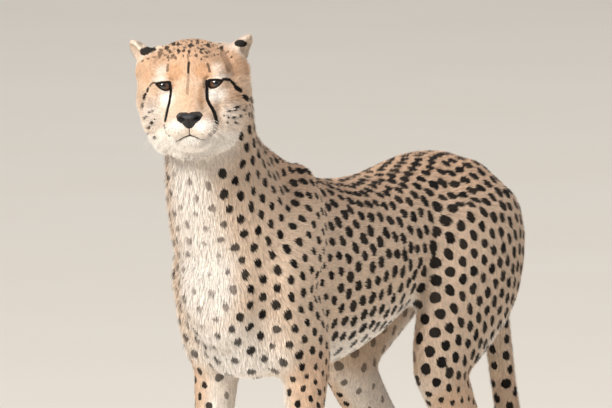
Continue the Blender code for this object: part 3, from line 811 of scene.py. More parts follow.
TAN_AND_SHADE_PATCHES = (
    (0.65, Patch(0.0, -2.0, 2.6, 4.4)), (1.15, Patch(-2.0, 1.9, 2.3, 2.2)), (1.15, Patch(2.0, 1.9, 2.3, 2.2)),
    # Patch(1.7, -1.6) on the next line is painted shade: a darker tan band beside the bridge of the nose on
    # the +x side.
    (0.90, Patch(1.7, -1.6, 1.1, 3.2)), (0.75, Patch(0.0, 4.0, 6.4, 3.6)),
    (0.60, Patch(-5.1, -1.1, 1.2, 0.6)),
    (0.45, Patch(-5.6, -1.6, 1.3, 1.6)), (0.65, Patch(6.2, -1.2, 1.8, 2.6)),
    (0.80, Patch(-6.2, 1.8, 1.8, 2.8)), (0.80, Patch(6.4, 2.0, 2.0, 3.0)),
)
EAR_PATCHES = (Patch(-5.95, 4.95, 2.0, 1.05, 0), Patch(7.1, 5.45, 1.32, 0.80, -3))
EAR_EDGES = (Stroke(((9.35, 6.9), (9.2, 5.0)), 4.0, 0.60), Stroke(((-7.5, 6.5), (-6.9, 5.7)), 4.5, 0.45))


class Lids:
    """The opening between an eye's lids, in the plane of the face."""

    def __init__(self, head: HeadAxes, name: str) -> None:
        """Places the opening before the eye of that name."""
        side = SIDES[name]
        self.side = side
        self.centre = head.local(middle(f"eye_{name}"))
        self.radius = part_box(f"eye_{name}")[1].z - float(middle(f"eye_{name}")[2])
        knots = np.array(LID_OUTLINE) * CENTIMETRE * (side, 1)
        steps = 6
        rounded = []
        for index in range(len(knots)):
            before, start, end, after = (knots[(index + shift) % len(knots)] for shift in (-1, 0, 1, 2))
            for step in range(steps):
                t = step / steps
                bend = (2 * before - 5 * start + 4 * end - after) * t * t
                turn = (3 * start - before - 3 * end + after) * t**3
                rounded.append((2 * start + (end - before) * t + bend + turn) / 2)
        self.outline = np.array(rounded)

    def distance(self, local: np.ndarray) -> np.ndarray:
        """How far points are from the lids' edge as seen from ahead, below 0 inside the opening.

        Args:
            local: points in the head's frame.

        Returns:
            Metres for each point.
        """
        x, z = local[:, 0] - self.centre[0], local[:, 2] - self.centre[2]
        best = np.full(len(x), np.inf)
        inside = np.zeros(len(x), bool)
        for (ax, az), (bx, bz) in zip(self.outline, np.roll(self.outline, -1, axis=0)):
            best = np.minimum(best, line_distance(x, z, (ax, az), (bx, bz)))
            crosses = (az > z) != (bz > z)
            rise = bz - az if abs(bz - az) > 1e-12 else 1e-12
            inside ^= crosses & (x < (bx - ax) * (z - az) / rise + ax)
        return np.where(inside, -best, best)


# ---------------------------------------------------------------- the skin
@dataclass
class Marks:
    """How many metres each point of the skin is outside the nearest dark mark, and that mark's darkness."""

    distance: np.ndarray
    ink: np.ndarray

    def add(self, outside: np.ndarray, ink: float, where: np.ndarray) -> None:
        """Adds a mark.

        Args:
            outside: metres outside its edge, for each point.
            ink: how dark it is.
            where: which points can carry it.
        """
        outside = np.where(where, outside, 1.0)
        self.ink[outside < self.distance] = ink
        self.distance = np.minimum(self.distance, outside)


@dataclass
class Skin:
    """One skin over all the flesh, fused from the solids and sunk by the coat's depth."""

    head: HeadAxes
    body_voxel: float = 0.0065
    head_voxel: float = 0.0026
    paw_voxel: float = 0.0038
    swell: float = 0.0009
    seam: float = 0.0040
    ankle: float = 0.105
    neck_lean: tuple[float, float, float] = (0.0, -0.45, 0.89)
    lid_thickness: float = 0.0016
    # The dark lid is wider over the top of the eye than below it: partly the lid's rim, partly painted shadow
    # of the upper lid.
    rim_and_shadow_above: float = 0.0034
    rim_below: float = 0.0017
    nose_bed: float = 0.0060
    ahead: float = 0.12
    temple: tuple[float, float, float] = (0.080, 0.045, 0.000)
    temple_reach: float = 0.034
    surface: Surface = field(init=False)
    fields: dict[str, np.ndarray] = field(init=False, default_factory=dict)
    flow: np.ndarray = field(init=False)
    part: np.ndarray = field(init=False)

    def __post_init__(self) -> None:
        """Finds the two eyes' openings."""
        self.lids = [Lids(self.head, name) for name in SIDES]

    def build(self) -> bpy.types.Object:
        """Makes the skin and its fields.

        Returns:
            The skin's object.
        """
        obj = self.fused()
        self.refine(obj)
        self.surface = Surface(obj.data)
        self.label()
        self.sink()
        self.sculpt()
        obj.data.vertices.foreach_set("co", self.surface.points.ravel())
        obj.data.update()
        self.comb()
        self.colour()
        return obj

    def fused(self) -> bpy.types.Object:
        """Remeshes body, head and paws at their own fineness and joins them into one closed mesh.

        Returns:
            The closed mesh's object.
        """
        neck = Vector(middle("neck"))
        lean = Vector(self.neck_lean).normalized()
        solids = [*flesh(), "nose", "eye_left", "eye_right"]
        body = self.remeshed("skin", solids, self.body_voxel, 3)
        tops = [node for node in solids if node.startswith(("head", "jaw", "nose", "ear", "eye", "neck"))]
        head = self.remeshed("skin_head", tops, self.head_voxel, 4)
        pieces = [self.kept(head, neck + lean * self.seam / 2, -lean)]
        body = self.kept(body, neck - lean * self.seam / 2, lean)
        upper, height = Vector((0, 0, 1)), Vector((0, 0, self.ankle))
        for end, limb in zip(ENDS, ("wrist", "hock")):
            for name in SIDES:
                nodes = (f"{limb}_{name}", f"paw_{end}_{name}")
                paw = self.remeshed(f"skin_paw_{end}_{name}", nodes, self.paw_voxel, 3)
                pieces.append(self.kept(paw, height - upper * self.seam / 2, upper))
        body = self.kept(body, Vector((0, 0, self.ankle + self.seam / 2)), -upper)
        whole = bmesh.new()
        whole.from_mesh(body.data)
        for piece in pieces:
            whole.from_mesh(piece.data)
            bpy.data.objects.remove(piece)
        self.bridge(whole)
        bmesh.ops.triangulate(whole, faces=whole.faces)
        bmesh.ops.recalc_face_normals(whole, faces=whole.faces)
        log.info("skin's open edges: %d", sum(edge.is_boundary for edge in whole.edges))
        whole.to_mesh(body.data)
        whole.free()
        return body

    def remeshed(self, name: str, nodes: Iterable[str], voxel: float, rounds: int) -> bpy.types.Object:
        """The solids fused into one smooth skin of even fineness."""
        obj = Bench.gathered(name, nodes, self.swell)
        Bench.modify(obj, "REMESH", mode="VOXEL", voxel_size=voxel)
        Bench.modify(obj, "SMOOTH", factor=0.5, iterations=rounds)
        return obj

    @staticmethod
    def kept(obj: bpy.types.Object, point: Vector, away: Vector) -> bpy.types.Object:
        """Cuts off what lies beyond a plane, in the direction away, and leaves the cut open."""
        whole = bmesh.new()
        whole.from_mesh(obj.data)
        geometry = [*whole.verts, *whole.edges, *whole.faces]
        bmesh.ops.bisect_plane(whole, geom=geometry, plane_co=point, plane_no=away, clear_outer=True)
        whole.to_mesh(obj.data)
        whole.free()
        return obj

    def bridge(self, whole: bmesh.types.BMesh) -> None:
        """Bridges the open loops on both sides of the neck's cut and of each ankle's."""
        groups = {}
        for edge in whole.edges:
            if not edge.is_boundary:
                continue
            place = (edge.verts[0].co + edge.verts[1].co) / 2
            at_ankle = abs(place.z - self.ankle) < self.seam
            key = (place.x > 0, place.y > 0) if at_ankle else "neck"
            groups.setdefault(key, []).append(edge)
        for edges in groups.values():
            bmesh.ops.bridge_loops(whole, edges=edges)

    def refine(self, obj: bpy.types.Object) -> None:
        """Halves the mesh's edges on the face, and again round the eyes, nose and mouth."""
        zones = (
            (lambda h: (np.abs(h[:, 0]) < 0.062) & (h[:, 1] < 0.030) & (h[:, 2] < 0.030), 0.0016),
            (lambda h: self.near_detail(h), 0.0009),
        )
        for zone, longest in zones:
            points = Surface(obj.data).points
            chosen = zone(self.head.local(points)) & (self.head.local(points)[:, 2] > -0.10)
            whole = bmesh.new()
            whole.from_mesh(obj.data)
            whole.verts.ensure_lookup_table()
            picked = [
                edge
                for edge in whole.edges
                if chosen[edge.verts[0].index]
                and chosen[edge.verts[1].index]
                and edge.calc_length() > longest
            ]
            bmesh.ops.subdivide_edges(whole, edges=picked, cuts=1, use_grid_fill=True)
            bmesh.ops.triangulate(whole, faces=[face for face in whole.faces if len(face.verts) > 3])
            whole.to_mesh(obj.data)
            whole.free()
            surface = Surface(obj.data)
            local = self.head.local(surface.points)
            soft = zone(local) & (local[:, 2] > -0.10)
            relaxed = surface.smoothed(surface.points, 3, 0.5)
            surface.points[soft] = relaxed[soft]
            obj.data.vertices.foreach_set("co", surface.points.ravel())

    def near_detail(self, local: np.ndarray) -> np.ndarray:
        """Which points are by the lids, under the nose pad or on the mouth's line."""
        near = np.zeros(len(local), bool)
        for lids in self.lids:
            near |= np.abs(lids.distance(local)) < 0.0045
        x, z = local[:, 0], local[:, 2]
        lines = np.minimum(MOUTH.distance(x, z), PHILTRUM.distance(x, z))
        return (near | (lines < 0.004)) & (local[:, 1] < 0.012)

    def label(self) -> None:
        """Names the part each point lies on, and spreads the parts' growth smoothly over the skin."""
        tree_points, tree_parts = [], []
        for node in flesh():
            part = PARTS.index(part_of(node))
            copy = Surface(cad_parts[node].data)
            corners = copy.points[copy.faces]
            for weights in ((1 / 3, 1 / 3, 1 / 3), (0.7, 0.15, 0.15), (0.15, 0.7, 0.15), (0.15, 0.15, 0.7)):
                tree_points.append(np.einsum("fcx,c->fx", corners, weights))
                tree_parts.append(np.full(len(corners), part))
        parts = np.concatenate(tree_parts)
        tree = tree_of(np.vstack(tree_points))
        self.part = np.array([parts[tree.find(point)[1]] for point in self.surface.points])
        rows = np.array([GROWTH[part].row() for part in PARTS])
        spread = self.surface.smoothed(rows[self.part], 5)
        self.fields = dict(zip(GROWTH_FIELDS, spread.T))

    def on(self, *parts: str) -> np.ndarray:
        """Which points lie on these parts."""
        return np.isin(self.part, [PARTS.index(part) for part in parts])

    def shares(self, *parts: str, rounds: int = 8) -> np.ndarray:
        """How much each point belongs to these parts, softly across their borders."""
        return self.surface.smoothed(self.on(*parts).astype(float), rounds)

    def sink(self) -> None:
        """Moves the skin in by the coat's depth, which is least round the eyes, nose and mouth."""
        local = self.head.local(self.surface.points)
        normals = self.surface.normals()
        self.face = self.shares("head", "jaw") * ramp(local[:, 1], 0.075, 0.035)
        muzzle = self.face * ramp(local[:, 1], 0.012, -0.012) * ramp(np.abs(local[:, 0]), 0.05, 0.03)
        ruff = self.face * ramp(np.abs(local[:, 0]), 0.046, 0.066) * ramp(local[:, 2], 0.0, -0.03)
        chin = self.face * ramp(local[:, 2], -0.074, -0.088)
        throat = self.shares("head", "jaw", "neck") * ramp(local[:, 2], -0.070, -0.090)
        throat *= ramp(local[:, 2], -0.190, -0.150) * ramp(local[:, 1], 0.110, 0.070)
        temple = np.exp(-((np.linalg.norm(local - self.temple, axis=1) / self.temple_reach) ** 2))
        temple *= self.shares("head")
        long = np.maximum.reduce((ruff, chin, throat, temple))
        chest = self.shares("trunk", "neck") * ramp(normals[:, 1], -0.15, -0.55)
        self.draw(muzzle, depth=1.9)
        self.draw(chest, depth=2.2, length=13.0, rise=0.40)
        self.draw(muzzle, length=3.6, width=0.75)
        self.draw(long, depth=2.6, length=12.0, rise=0.46)
        self.draw(temple, depth=0.8, rise=0.60)
        self.surface.points -= normals * (self.fields["depth"] * MILLIMETRE)[:, None]

    def draw(self, share: np.ndarray, **values: float) -> None:
        """Draws fields of the coat's growth towards a region's own values, by each point's share of it."""
        for name, value in values.items():
            self.fields[name] = blend(self.fields[name], value, share)

    def sculpt(self) -> None:
        """Shapes lids, brows, mouth, philtrum and the bed of the nose."""
        surface = self.surface
        self.fill_throat()
        local = self.head.local(surface.points)
        front = ramp(local[:, 1], 0.030, 0.015) * self.face
        for side in SIDES.values():
            brow = Patch(3.4 * side, 1.45, 2.7, 1.0, 6 * side).share(local[:, 0], local[:, 2])
            local[:, 1] -= 0.0030 * brow * front
            tear = Stroke(((2.35 * side, 0.2), (2.3 * side, -1.6), (2.7 * side, -3.2)), 1)
            hollow = tear.distance(*local[:, ::2].T)
            local[:, 1] += 0.0022 * np.exp(-((hollow / 0.0055) ** 2)) * front
            pad = Patch(1.95 * side, -6.05, 2.3, 1.6).share(local[:, 0], local[:, 2])
            local[:, 1] -= 0.0022 * pad * front
        x, z = local[:, 0], local[:, 2]
        local[:, 1] += 0.0042 * np.exp(-((MOUTH.distance(x, z) / 0.0017) ** 2)) * front
        local[:, 1] += 0.0026 * np.exp(-((PHILTRUM.distance(x, z) / 0.0014) ** 2)) * front
        local[:, 1] += self.bed(local) * front
        for lids in self.lids:
            self.open_lids(local, lids)
        surface.points = self.head.world(local)

    def fill_throat(self) -> None:
        """Rounds out the notch between chin and throat, as the long fur there does."""
        surface = self.surface
        local = self.head.local(surface.points)
        notch = self.shares("head", "jaw", "neck") * ramp(local[:, 1], 0.110, 0.070)
        notch *= ramp(local[:, 2], -0.070, -0.090) * ramp(local[:, 2], -0.200, -0.150)
        out = np.sum((surface.smoothed(surface.points, 80) - surface.points) * surface.normals(), axis=1)
        surface.points += surface.normals() * (np.maximum(out, 0) * notch)[:, None]

    def bed(self, local: np.ndarray) -> np.ndarray:
        """How far the skin lies back under the nose pad."""
        return self.nose_bed * ramp(NosePad.distance(local), 0.0, -0.0018)

    def open_lids(self, local: np.ndarray, lids: Lids) -> None:
        """Sets the skin behind the eye's front inside the lids, and wraps it over the eye round them.

        Args:
            local: points in the head's frame, which are moved.
            lids: the opening.
        """
        # Above the eye the dark lid reaches further in, as painted shadow of the upper lid.
        above = ramp(local[:, 2] - lids.centre[2], -0.0030, 0.0040)
        edge = lids.distance(local) + blend(self.rim_below, self.rim_and_shadow_above, above)
        near = (edge < 0.010) & (np.linalg.norm(local - lids.centre, axis=1) < 0.026)
        near &= local[:, 1] < lids.centre[1] + 0.004
        dx, dz = local[near, 0] - lids.centre[0], local[near, 2] - lids.centre[2]
        off = dx**2 + dz**2
        edge = edge[near]
        inner = lids.radius - 0.0035
        outer = lids.radius + self.lid_thickness

        def ball(radius: float) -> np.ndarray:
            """Where the front of a ball round the eye is."""
            return lids.centre[1] - np.sqrt(np.maximum(radius**2 - off, 0.0025**2))

        lid = blend(ball(outer), local[near, 1], ramp(edge, 0.0030, 0.0095))
        local[near, 1] = blend(ball(inner), lid, ramp(edge, -0.0007, 0.0003))

    def met_from_ahead(self, x: np.ndarray, z: np.ndarray) -> np.ndarray:
        """Finds where the skin lies behind places before the face.

        Args:
            x: how far to the animal's left each place is, in the head's frame.
            z: how far up it is.

        Returns:
            The skin's points in the head's frame, in metres, or nan where there is none.
        """
        tree = self.surface.tree()
        back = Vector(self.head.direction(np.array((0, 1.0, 0))))
        starts = self.head.world(np.stack((x, np.full(len(x), -self.ahead), z), axis=1))
        hits = [tree.ray_cast(Vector(start), back)[0] for start in starts]
        return self.head.local(np.array([(math.nan,) * 3 if hit is None else tuple(hit) for hit in hits]))

    # ------------------------------------------------------------ the lie of the coat
    def comb(self) -> None:
        """Lays the hair back from the nose, out along the ears, down the limbs and along the tail."""
        surface, fields = self.surface, self.fields
        normals = surface.normals()
        lie = unit(np.stack([fields[f"lie_{axis}"] for axis in "xyz"], axis=1))
        local = self.head.local(surface.points)
        from_nose = unit(self.head.direction(local - np.array((0, -0.075, -0.040))))
        lie = blend(lie, from_nose, self.shares("head", "jaw", rounds=14)[:, None])
        ears = self.shares("ear", rounds=2)[:, None]
        outward = np.array((0.62, 0.1, 0.8)) * np.stack((np.sign(local[:, 0]), *np.ones((2, len(local)))), 1)
        lie = blend(lie, self.head.direction(outward), ears)
        tail = self.shares("tail_base", "tail_middle", "tail_tip", rounds=4)[:, None]
        lie = blend(lie, self.tail_line().locate(surface.points)[1], tail)
        chest = self.shares("trunk", "neck") * ramp(normals[:, 1], -0.1, -0.7)
        lie = blend(lie, np.array((0, 0.15, -1.0)), chest[:, None])
        lie = surface.smoothed(lie, 24)
        head = self.shares("head", "jaw", "ear", rounds=14)[:, None]
        lie = blend(surface.smoothed(lie, 60), lie, head)
        lie -= np.sum(lie * normals, axis=1)[:, None] * normals
        lie = surface.smoothed(lie, 4)
        lie -= np.sum(lie * normals, axis=1)[:, None] * normals
        self.flow = unit(lie)
        fields["downward"] = np.abs(self.flow[:, 2])

    def tail_line(self) -> Centreline:
        """The middle line of the tail."""
        tail = self.on("tail_base", "tail_middle", "tail_tip")
        return Centreline.through(self.surface.points[tail], (0, 1, -1), 26)

    # ------------------------------------------------------------ colours and marks
    def colour(self) -> None:
        """Spreads tan, cream and white, then sets the spots and the marks of face, ears and tail."""
        surface, fields = self.surface, self.fields
        normals = unit(surface.smoothed(surface.normals(), 24))
        points = surface.points
        height = points[:, 2]
        trunk_low, trunk_high = (corner.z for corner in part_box("trunk"))
        up = normals[:, 2]
        body = self.shares("trunk", "neck", "thigh", "tail_base", rounds=10)
        level = (height - trunk_low) / (trunk_high - trunk_low)
        forward = ramp(points[:, 1], -0.16, -0.28)
        side_tan = (0.14 + 0.40 * ramp(level, 0.45, 0.95)) * (1 - 0.55 * forward * ramp(up, 0.7, 0.2))
        tan = body * np.clip(side_tan * ramp(up, -0.5, 0.5) + 0.20 * ramp(up, 0.4, 0.95), 0, 1)
        legs = self.shares("forearm", "wrist", "shank", "hock", "paw", rounds=10)
        outward = np.sign(points[:, 0]) * normals[:, 0]
        tan += legs * (0.15 + 0.30 * ramp(outward, -0.2, 0.7))
        tan += self.shares("tail_middle", "tail_tip") * 0.6 * ramp(up, -0.6, 0.4)
        white = body * ramp(up, -0.15, -0.75) * ramp(level, 0.6, 0.3)
        white += legs * 0.75 * ramp(outward, 0.1, -0.6)
        front = self.shares("trunk", "neck", rounds=10) * ramp(normals[:, 1], -0.60, -0.95)
        white = np.maximum(white, front * 0.9)
        tan *= 1 - white
        tan, white = self.face_tones(tan, white)
        fields["tan"], fields["white"] = np.clip(tan, 0, 1.25), np.clip(white, 0, 1)
        fields["shade"] = np.full(len(points), 0.93)
        fields["pad"] = self.shares("paw", rounds=1) * ramp(height, 0.0075, 0.0035) * ramp(up, -0.4, -0.8)
        self.mark(front)

    def face_tones(self, tan: np.ndarray, white: np.ndarray) -> tuple[np.ndarray, np.ndarray]:
        """Adds the head's patches of tan and white; the tan band beside the bridge of the nose on the +x side
        is painted shade.

        Args:
            tan: the body's tan so far.
            white: the body's white so far.

        Returns:
            Both with the head's added.
        """
        local = self.head.local(self.surface.points)
        x, z = local[:, 0], local[:, 2]
        head = self.shares("head", "jaw", rounds=8)
        front = head * ramp(local[:, 1], 0.06, 0.02)
        crown = head * ramp(z, -0.05, 0.03)
        head_tan = 0.26 + 0.52 * ramp(z, -0.02, 0.030)
        for strength, patch in TAN_AND_SHADE_PATCHES:
            head_tan = np.maximum(head_tan, strength * patch.share(x, z) * front)
        head_white = ramp(z, -0.045, -0.085)
        for strength, patch in WHITE_PATCHES:
            head_white = np.maximum(head_white, strength * patch.share(x, z) * front)
        tan = blend(tan, head_tan * np.maximum(crown, front), head)
        white = blend(white, head_white, head)
        ahead = self.head.local(self.surface.points + self.surface.normals())
        behind = ramp(ahead[:, 1] - local[:, 1], -0.2, 0.3)
        ears = self.shares("ear", rounds=1) * ramp(np.abs(x), 0.048, 0.060)
        throat = self.shares("neck", rounds=10) * ramp(z, -0.20, -0.12) * ramp(local[:, 1], 0.09, 0.04)
        white = np.maximum(white, throat)
        return blend(tan, 0.20 + 0.60 * behind, ears), blend(white, 0.25 * (1 - behind), ears)

    def mark(self, front: np.ndarray) -> None:
        """Finds how far each point is outside the nearest dark mark, in millimetres, and how dark that is."""
        marks = SpotField(self, front).measure()
        local = self.head.local(self.surface.points)
        x, z = local[:, 0], local[:, 2]
        facing = (self.face > 0.3) & (local[:, 1] < 0.055)
        for stroke in (*FACE_LINES, MOUTH, PHILTRUM):
            marks.add(stroke.outside(x, z), stroke.ink, facing)
        for dots, strength in ((FACE_DOTS, 0.92), ([(*place, 1.2) for place in WHISKER_ROWS], 0.55)):
            for dot_x, dot_z, width in dots:
                away = np.hypot(x - dot_x * CENTIMETRE, z - dot_z * CENTIMETRE)
                marks.add(away - width * 0.6 * MILLIMETRE, strength, facing)
        # The lids are dark inside their outline; the wide upper rim is partly painted shadow of the lid.
        for lids in self.lids:
            marks.add(lids.distance(local), 1.0, facing & (local[:, 1] < 0.02))
        self.mark_ears(local, marks)
        self.mark_tail(marks)
        self.fields["mark"] = np.clip(marks.distance / MILLIMETRE, -6, 6)
        self.fields["mark_climb"] = np.clip(self.surface.slope(self.fields["mark"], self.flow), -1200, 1200)
        self.fields["ink"] = marks.ink

    def mark_ears(self, local: np.ndarray, marks: Marks) -> None:
        """Darkens the root of each ear in front and its back short of the pale rim."""
        back = self.head.local(self.surface.points + self.surface.normals())[:, 1] - local[:, 1]
        ears = self.shares("ear", rounds=1)
        for name, patch in zip(reversed(SIDES), EAR_PATCHES):
            low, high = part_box(f"ear_{name}")
            ear = (ears > 0.2) & (np.sign(local[:, 0]) == SIDES[name])
            rise = (self.surface.points[:, 2] - low.z) / (high.z - low.z)
            root = (0.5 - patch.share(local[:, 0], local[:, 2])) * 0.006
            band = (np.abs(rise - 0.38) - 0.26) * (high.z - low.z)
            marks.add(np.where(back > 0.25, band, root), 0.97, ear)
        for edge in EAR_EDGES:
            marks.add(edge.outside(local[:, 0], local[:, 2]), edge.ink, ears > 0.2)

    def mark_tail(self, marks: Marks) -> None:
        """Rings the tail towards its end, and leaves the tip white."""
        along, _, _ = self.tail_line().locate(self.surface.points)
        tail = self.shares("tail_middle", "tail_tip", rounds=2) > 0.4
        total = along[tail].max()
        to_tip = total - along
        rings = ((0.052, 0.013), (0.094, 0.012), (0.134, 0.010), (0.172, 0.009), (0.207, 0.007))
        marks.distance = np.where(tail & (to_tip < 0.225), 1.0, marks.distance)
        for place, half in rings:
            marks.add(np.abs(to_tip - place) - half, 1.0, tail)
        tip = tail * ramp(to_tip, 0.040, 0.032)
        self.fields["white"] = np.maximum(self.fields["white"], tip)


@dataclass
class SpotField:
    """The coat's spots: set by rule over the skin, each an uneven oval along the lie of the hair."""

    skin: Skin
    front: np.ndarray
    seed: int = 11
    tries: int = 60000
    crowding: float = 0.78
    rounds: int = 14

    def __post_init__(self) -> None:
        """Works out the spots' spacing, sizes and strength over the skin."""
        skin = self.skin
        fields, points = skin.fields, skin.surface.points
        local = skin.head.local(points)
        normals = skin.surface.normals()
        self.rng = np.random.default_rng(self.seed)
        spine = skin.shares("trunk", "neck", rounds=12) * ramp(normals[:, 2], 0.35, 0.85)
        nape = skin.shares("neck", rounds=10) * ramp(normals[:, 1], -0.1, 0.6)
        rump = skin.shares("trunk", rounds=12) * ramp(points[:, 1], 0.10, 0.24)
        forward = skin.shares("trunk", "neck", rounds=10)
        shoulder = forward * ramp(points[:, 1], -0.22, -0.30) * (1 - np.maximum(spine, nape))
        self.spacing, self.along, self.across = (fields[name] for name in ("spacing", "along", "across"))
        self.vary(spine, 20.0, 9.6, 6.4)
        self.vary(nape, 16.5, 7.8, 4.4)
        self.vary(rump, 24.5, 10.4, 8.6)
        self.vary(shoulder, 23.5, 8.0, 6.2)
        self.vary(self.front, 25.0, 5.8, 4.0)
        self.ink = 1 - 0.38 * self.front
        under = skin.shares("trunk", rounds=10) * ramp(normals[:, 2], -0.5, -0.9)
        self.vary(under, 40.0)
        inner = np.sign(points[:, 0]) * normals[:, 0]
        limbs = skin.shares("forearm", "shank", "thigh", "wrist", "hock", rounds=6) * ramp(inner, -0.3, -0.8)
        self.vary(limbs, 34.0)
        self.ink *= 1 - 0.3 * np.maximum(under, limbs)
        self.set_head(local)

    def vary(
        self, share: np.ndarray, spacing: float, along: float | None = None, across: float | None = None
    ) -> None:
        """Draws the spots' spacing and half sizes towards a region's own.

        Args:
            share: how much each point belongs to the region.
            spacing: millimetres from spot to spot.
            along: half a spot's length in millimetres, or None to leave it.
            across: half its width, or None to leave it.
        """
        for name, value in (("spacing", spacing), ("along", along), ("across", across)):
            if value is not None:
                setattr(self, name, blend(getattr(self, name), value, share))

    def set_head(self, local: np.ndarray) -> None:
        """Gives the crown dense dots and the cheeks sparse ones, and keeps the face and throat clear."""
        skin = self.skin
        head = skin.shares("head", "jaw", rounds=3)
        crown = np.maximum(head, skin.shares("ear", rounds=1)) * ramp(local[:, 2], 0.030, 0.040)
        behind = head * ramp(local[:, 1], 0.055, 0.080) * ramp(local[:, 2], -0.06, -0.02)
        cheek = head * ramp(local[:, 1], 0.045, 0.055) * ramp(local[:, 2], -0.018, -0.028)
        cheek *= ramp(local[:, 2], -0.085, -0.070)
        self.loose = blend(0.10 + 0.25 * self.front, 0.50, crown)
        self.vary(crown, 8.2, 2.9, 2.2)
        self.ink *= 1 - 0.06 * crown
        self.vary(behind * (1 - crown), 12.5, 4.6)
        self.vary(cheek * (1 - behind), 13.0, 2.0, 1.6)
        self.allowed = 1 - head * (1 - np.maximum.reduce((crown, behind, cheek)))
        throat = skin.shares("head", "jaw", "neck", rounds=3) * ramp(local[:, 2], -0.07, -0.09)
        throat *= ramp(local[:, 2], -0.16, -0.12) * ramp(local[:, 1], 0.09, 0.05)
        self.allowed *= 1 - throat
        self.allowed *= 1 - skin.shares("ear", rounds=1) * ramp(np.abs(local[:, 0]), 0.048, 0.060)
        self.allowed *= 1 - ramp(skin.fields["pad"], 0.0, 0.2)

    def thrown(self) -> np.ndarray:
        """Throws spots on the skin and keeps each that falls clear of those before it.

        Returns:
            The kept spots' places.
        """
        surface = self.skin.surface
        chance = np.linalg.norm(surface.cross(), axis=1) / self.spacing[surface.faces].mean(axis=1) ** 2
        corners = surface.faces[self.rng.choice(len(chance), self.tries, p=chance / chance.sum())]
        weights = self.rng.dirichlet((1, 1, 1), self.tries)
        rows = np.column_stack((surface.points, surface.normals(), self.spacing, self.allowed))
        rows = np.einsum("ncr,nc->nr", rows[corners], weights)
        kept = np.empty_like(rows)
        count = 0
        for row in rows[rows[:, 7] > 0.5]:
            gap = row[6] * MILLIMETRE * self.crowding
            close = np.sum((kept[:count, :3] - row[:3]) ** 2, axis=1) < gap**2
            if not np.any(close & (kept[:count, 3:6] @ row[3:6] > 0)):
                kept[count] = row
                count += 1
        return kept[:count, :3]

    def settled(self) -> dict[str, np.ndarray]:
        """Lets the thrown spots push each other along the skin until they stand evenly.

        Returns:
            The spots' places, axes, half sizes, strengths and unevenness.
        """
        surface = self.skin.surface
        tree = surface.tree()
        fields = (self.spacing, self.along, self.across, self.ink, self.allowed, self.loose)
        rows = np.column_stack((surface.normals(), self.skin.flow, *fields))

        def laid(places: np.ndarray) -> tuple[np.ndarray, np.ndarray]:
            """Places moved to the skin, and the row of values there."""
            found = [tree.find_nearest(place) for place in places.tolist()]
            corners = surface.faces[[hit[2] for hit in found]]
            return np.array([tuple(hit[0]) for hit in found]), rows[corners].mean(axis=1)

        places, values = laid(self.thrown())
        for _ in range(self.rounds):
            near = tree_of(places)
            around = np.array([[found[1] for found in near.find_n(place, 8)[1:]] for place in places])
            away = places[:, None] - places[around]
            reach = (values[:, None, 6] + values[around, 6]) / 2 * MILLIMETRE * 1.12
            push = np.clip(1 - np.linalg.norm(away, axis=2) / reach, 0, 1)
            push *= np.einsum("nkc,nc->nk", values[around, :3], values[:, :3]) > 0
            places, values = laid(places + np.sum(unit(away) * (push * reach)[..., None], axis=1) * 0.35)
        kept = values[:, 10] > 0.5
        places, values = places[kept], values[kept]
        vary = 1 + self.rng.uniform(-1, 1, (len(places), 2)) * values[:, 11:12]
        return {
            "place": places,
            "up": unit(values[:, :3]),
            "way": unit(values[:, 3:6]),
            "along": values[:, 7] * vary[:, 0] * MILLIMETRE,
            "across": values[:, 8] * vary[:, 1] * MILLIMETRE,
            "ink": values[:, 9] * (1 - self.rng.uniform(0, 0.4, len(places)) * values[:, 11]),
            "wave": self.rng.uniform(0, math.tau, (len(places), 2)),
        }

    def measure(self) -> Marks:
        """The spots as marks on the skin."""
        spots = self.settled()
        log.info("spots: %d", len(spots["place"]))
        points = self.skin.surface.points
        tree = tree_of(spots["place"])
        near = 4
        nearest = np.array([[found[1] for found in tree.find_n(point, near)] for point in points])
        best = np.full(len(points), 1.0)
        ink = np.ones(len(points))
        side = np.cross(spots["up"], spots["way"])
        for column in range(near):
            which = nearest[:, column]
            away = points - spots["place"][which]
            u = np.einsum("ij,ij->i", away, spots["way"][which]) / spots["along"][which]
            w = np.einsum("ij,ij->i", away, side[which]) / spots["across"][which]
            deep = np.abs(np.einsum("ij,ij->i", away, spots["up"][which]))
            angle = np.arctan2(w, u)
            wave = spots["wave"][which]
            uneven = 1 + 0.06 * np.cos(2 * angle + wave[:, 0]) + 0.05 * np.cos(3 * angle + wave[:, 1])
            outside = (np.hypot(u, w) / uneven - 1) * np.minimum(spots["along"], spots["across"])[which]
            outside = np.where(deep < 0.015, outside, 1.0)
            nearer = outside < best
            best[nearer] = outside[nearer]
            ink[nearer] = spots["ink"][which[nearer]]
        return Marks(best, ink)


# ---------------------------------------------------------------- the coat
class Wrap(Enum):
    """How a piece of skin is unwrapped: round a line that runs down, back or along the tail."""

    DOWN = (0.0, 0.12, -1.0)
    BACK = (0.0, 1.0, 0.0)
    TAIL = (0.0, 1.0, -1.0)
    RISE = (0.0, 0.0, 1.0)


@dataclass(frozen=True)
class CoatPiece:
    """One mesh of tufts: the parts of the body it covers, on which side, and how the skin there unwraps."""

    name: str
    parts: tuple[str, ...]
    wrap: Wrap
    side: int = 0


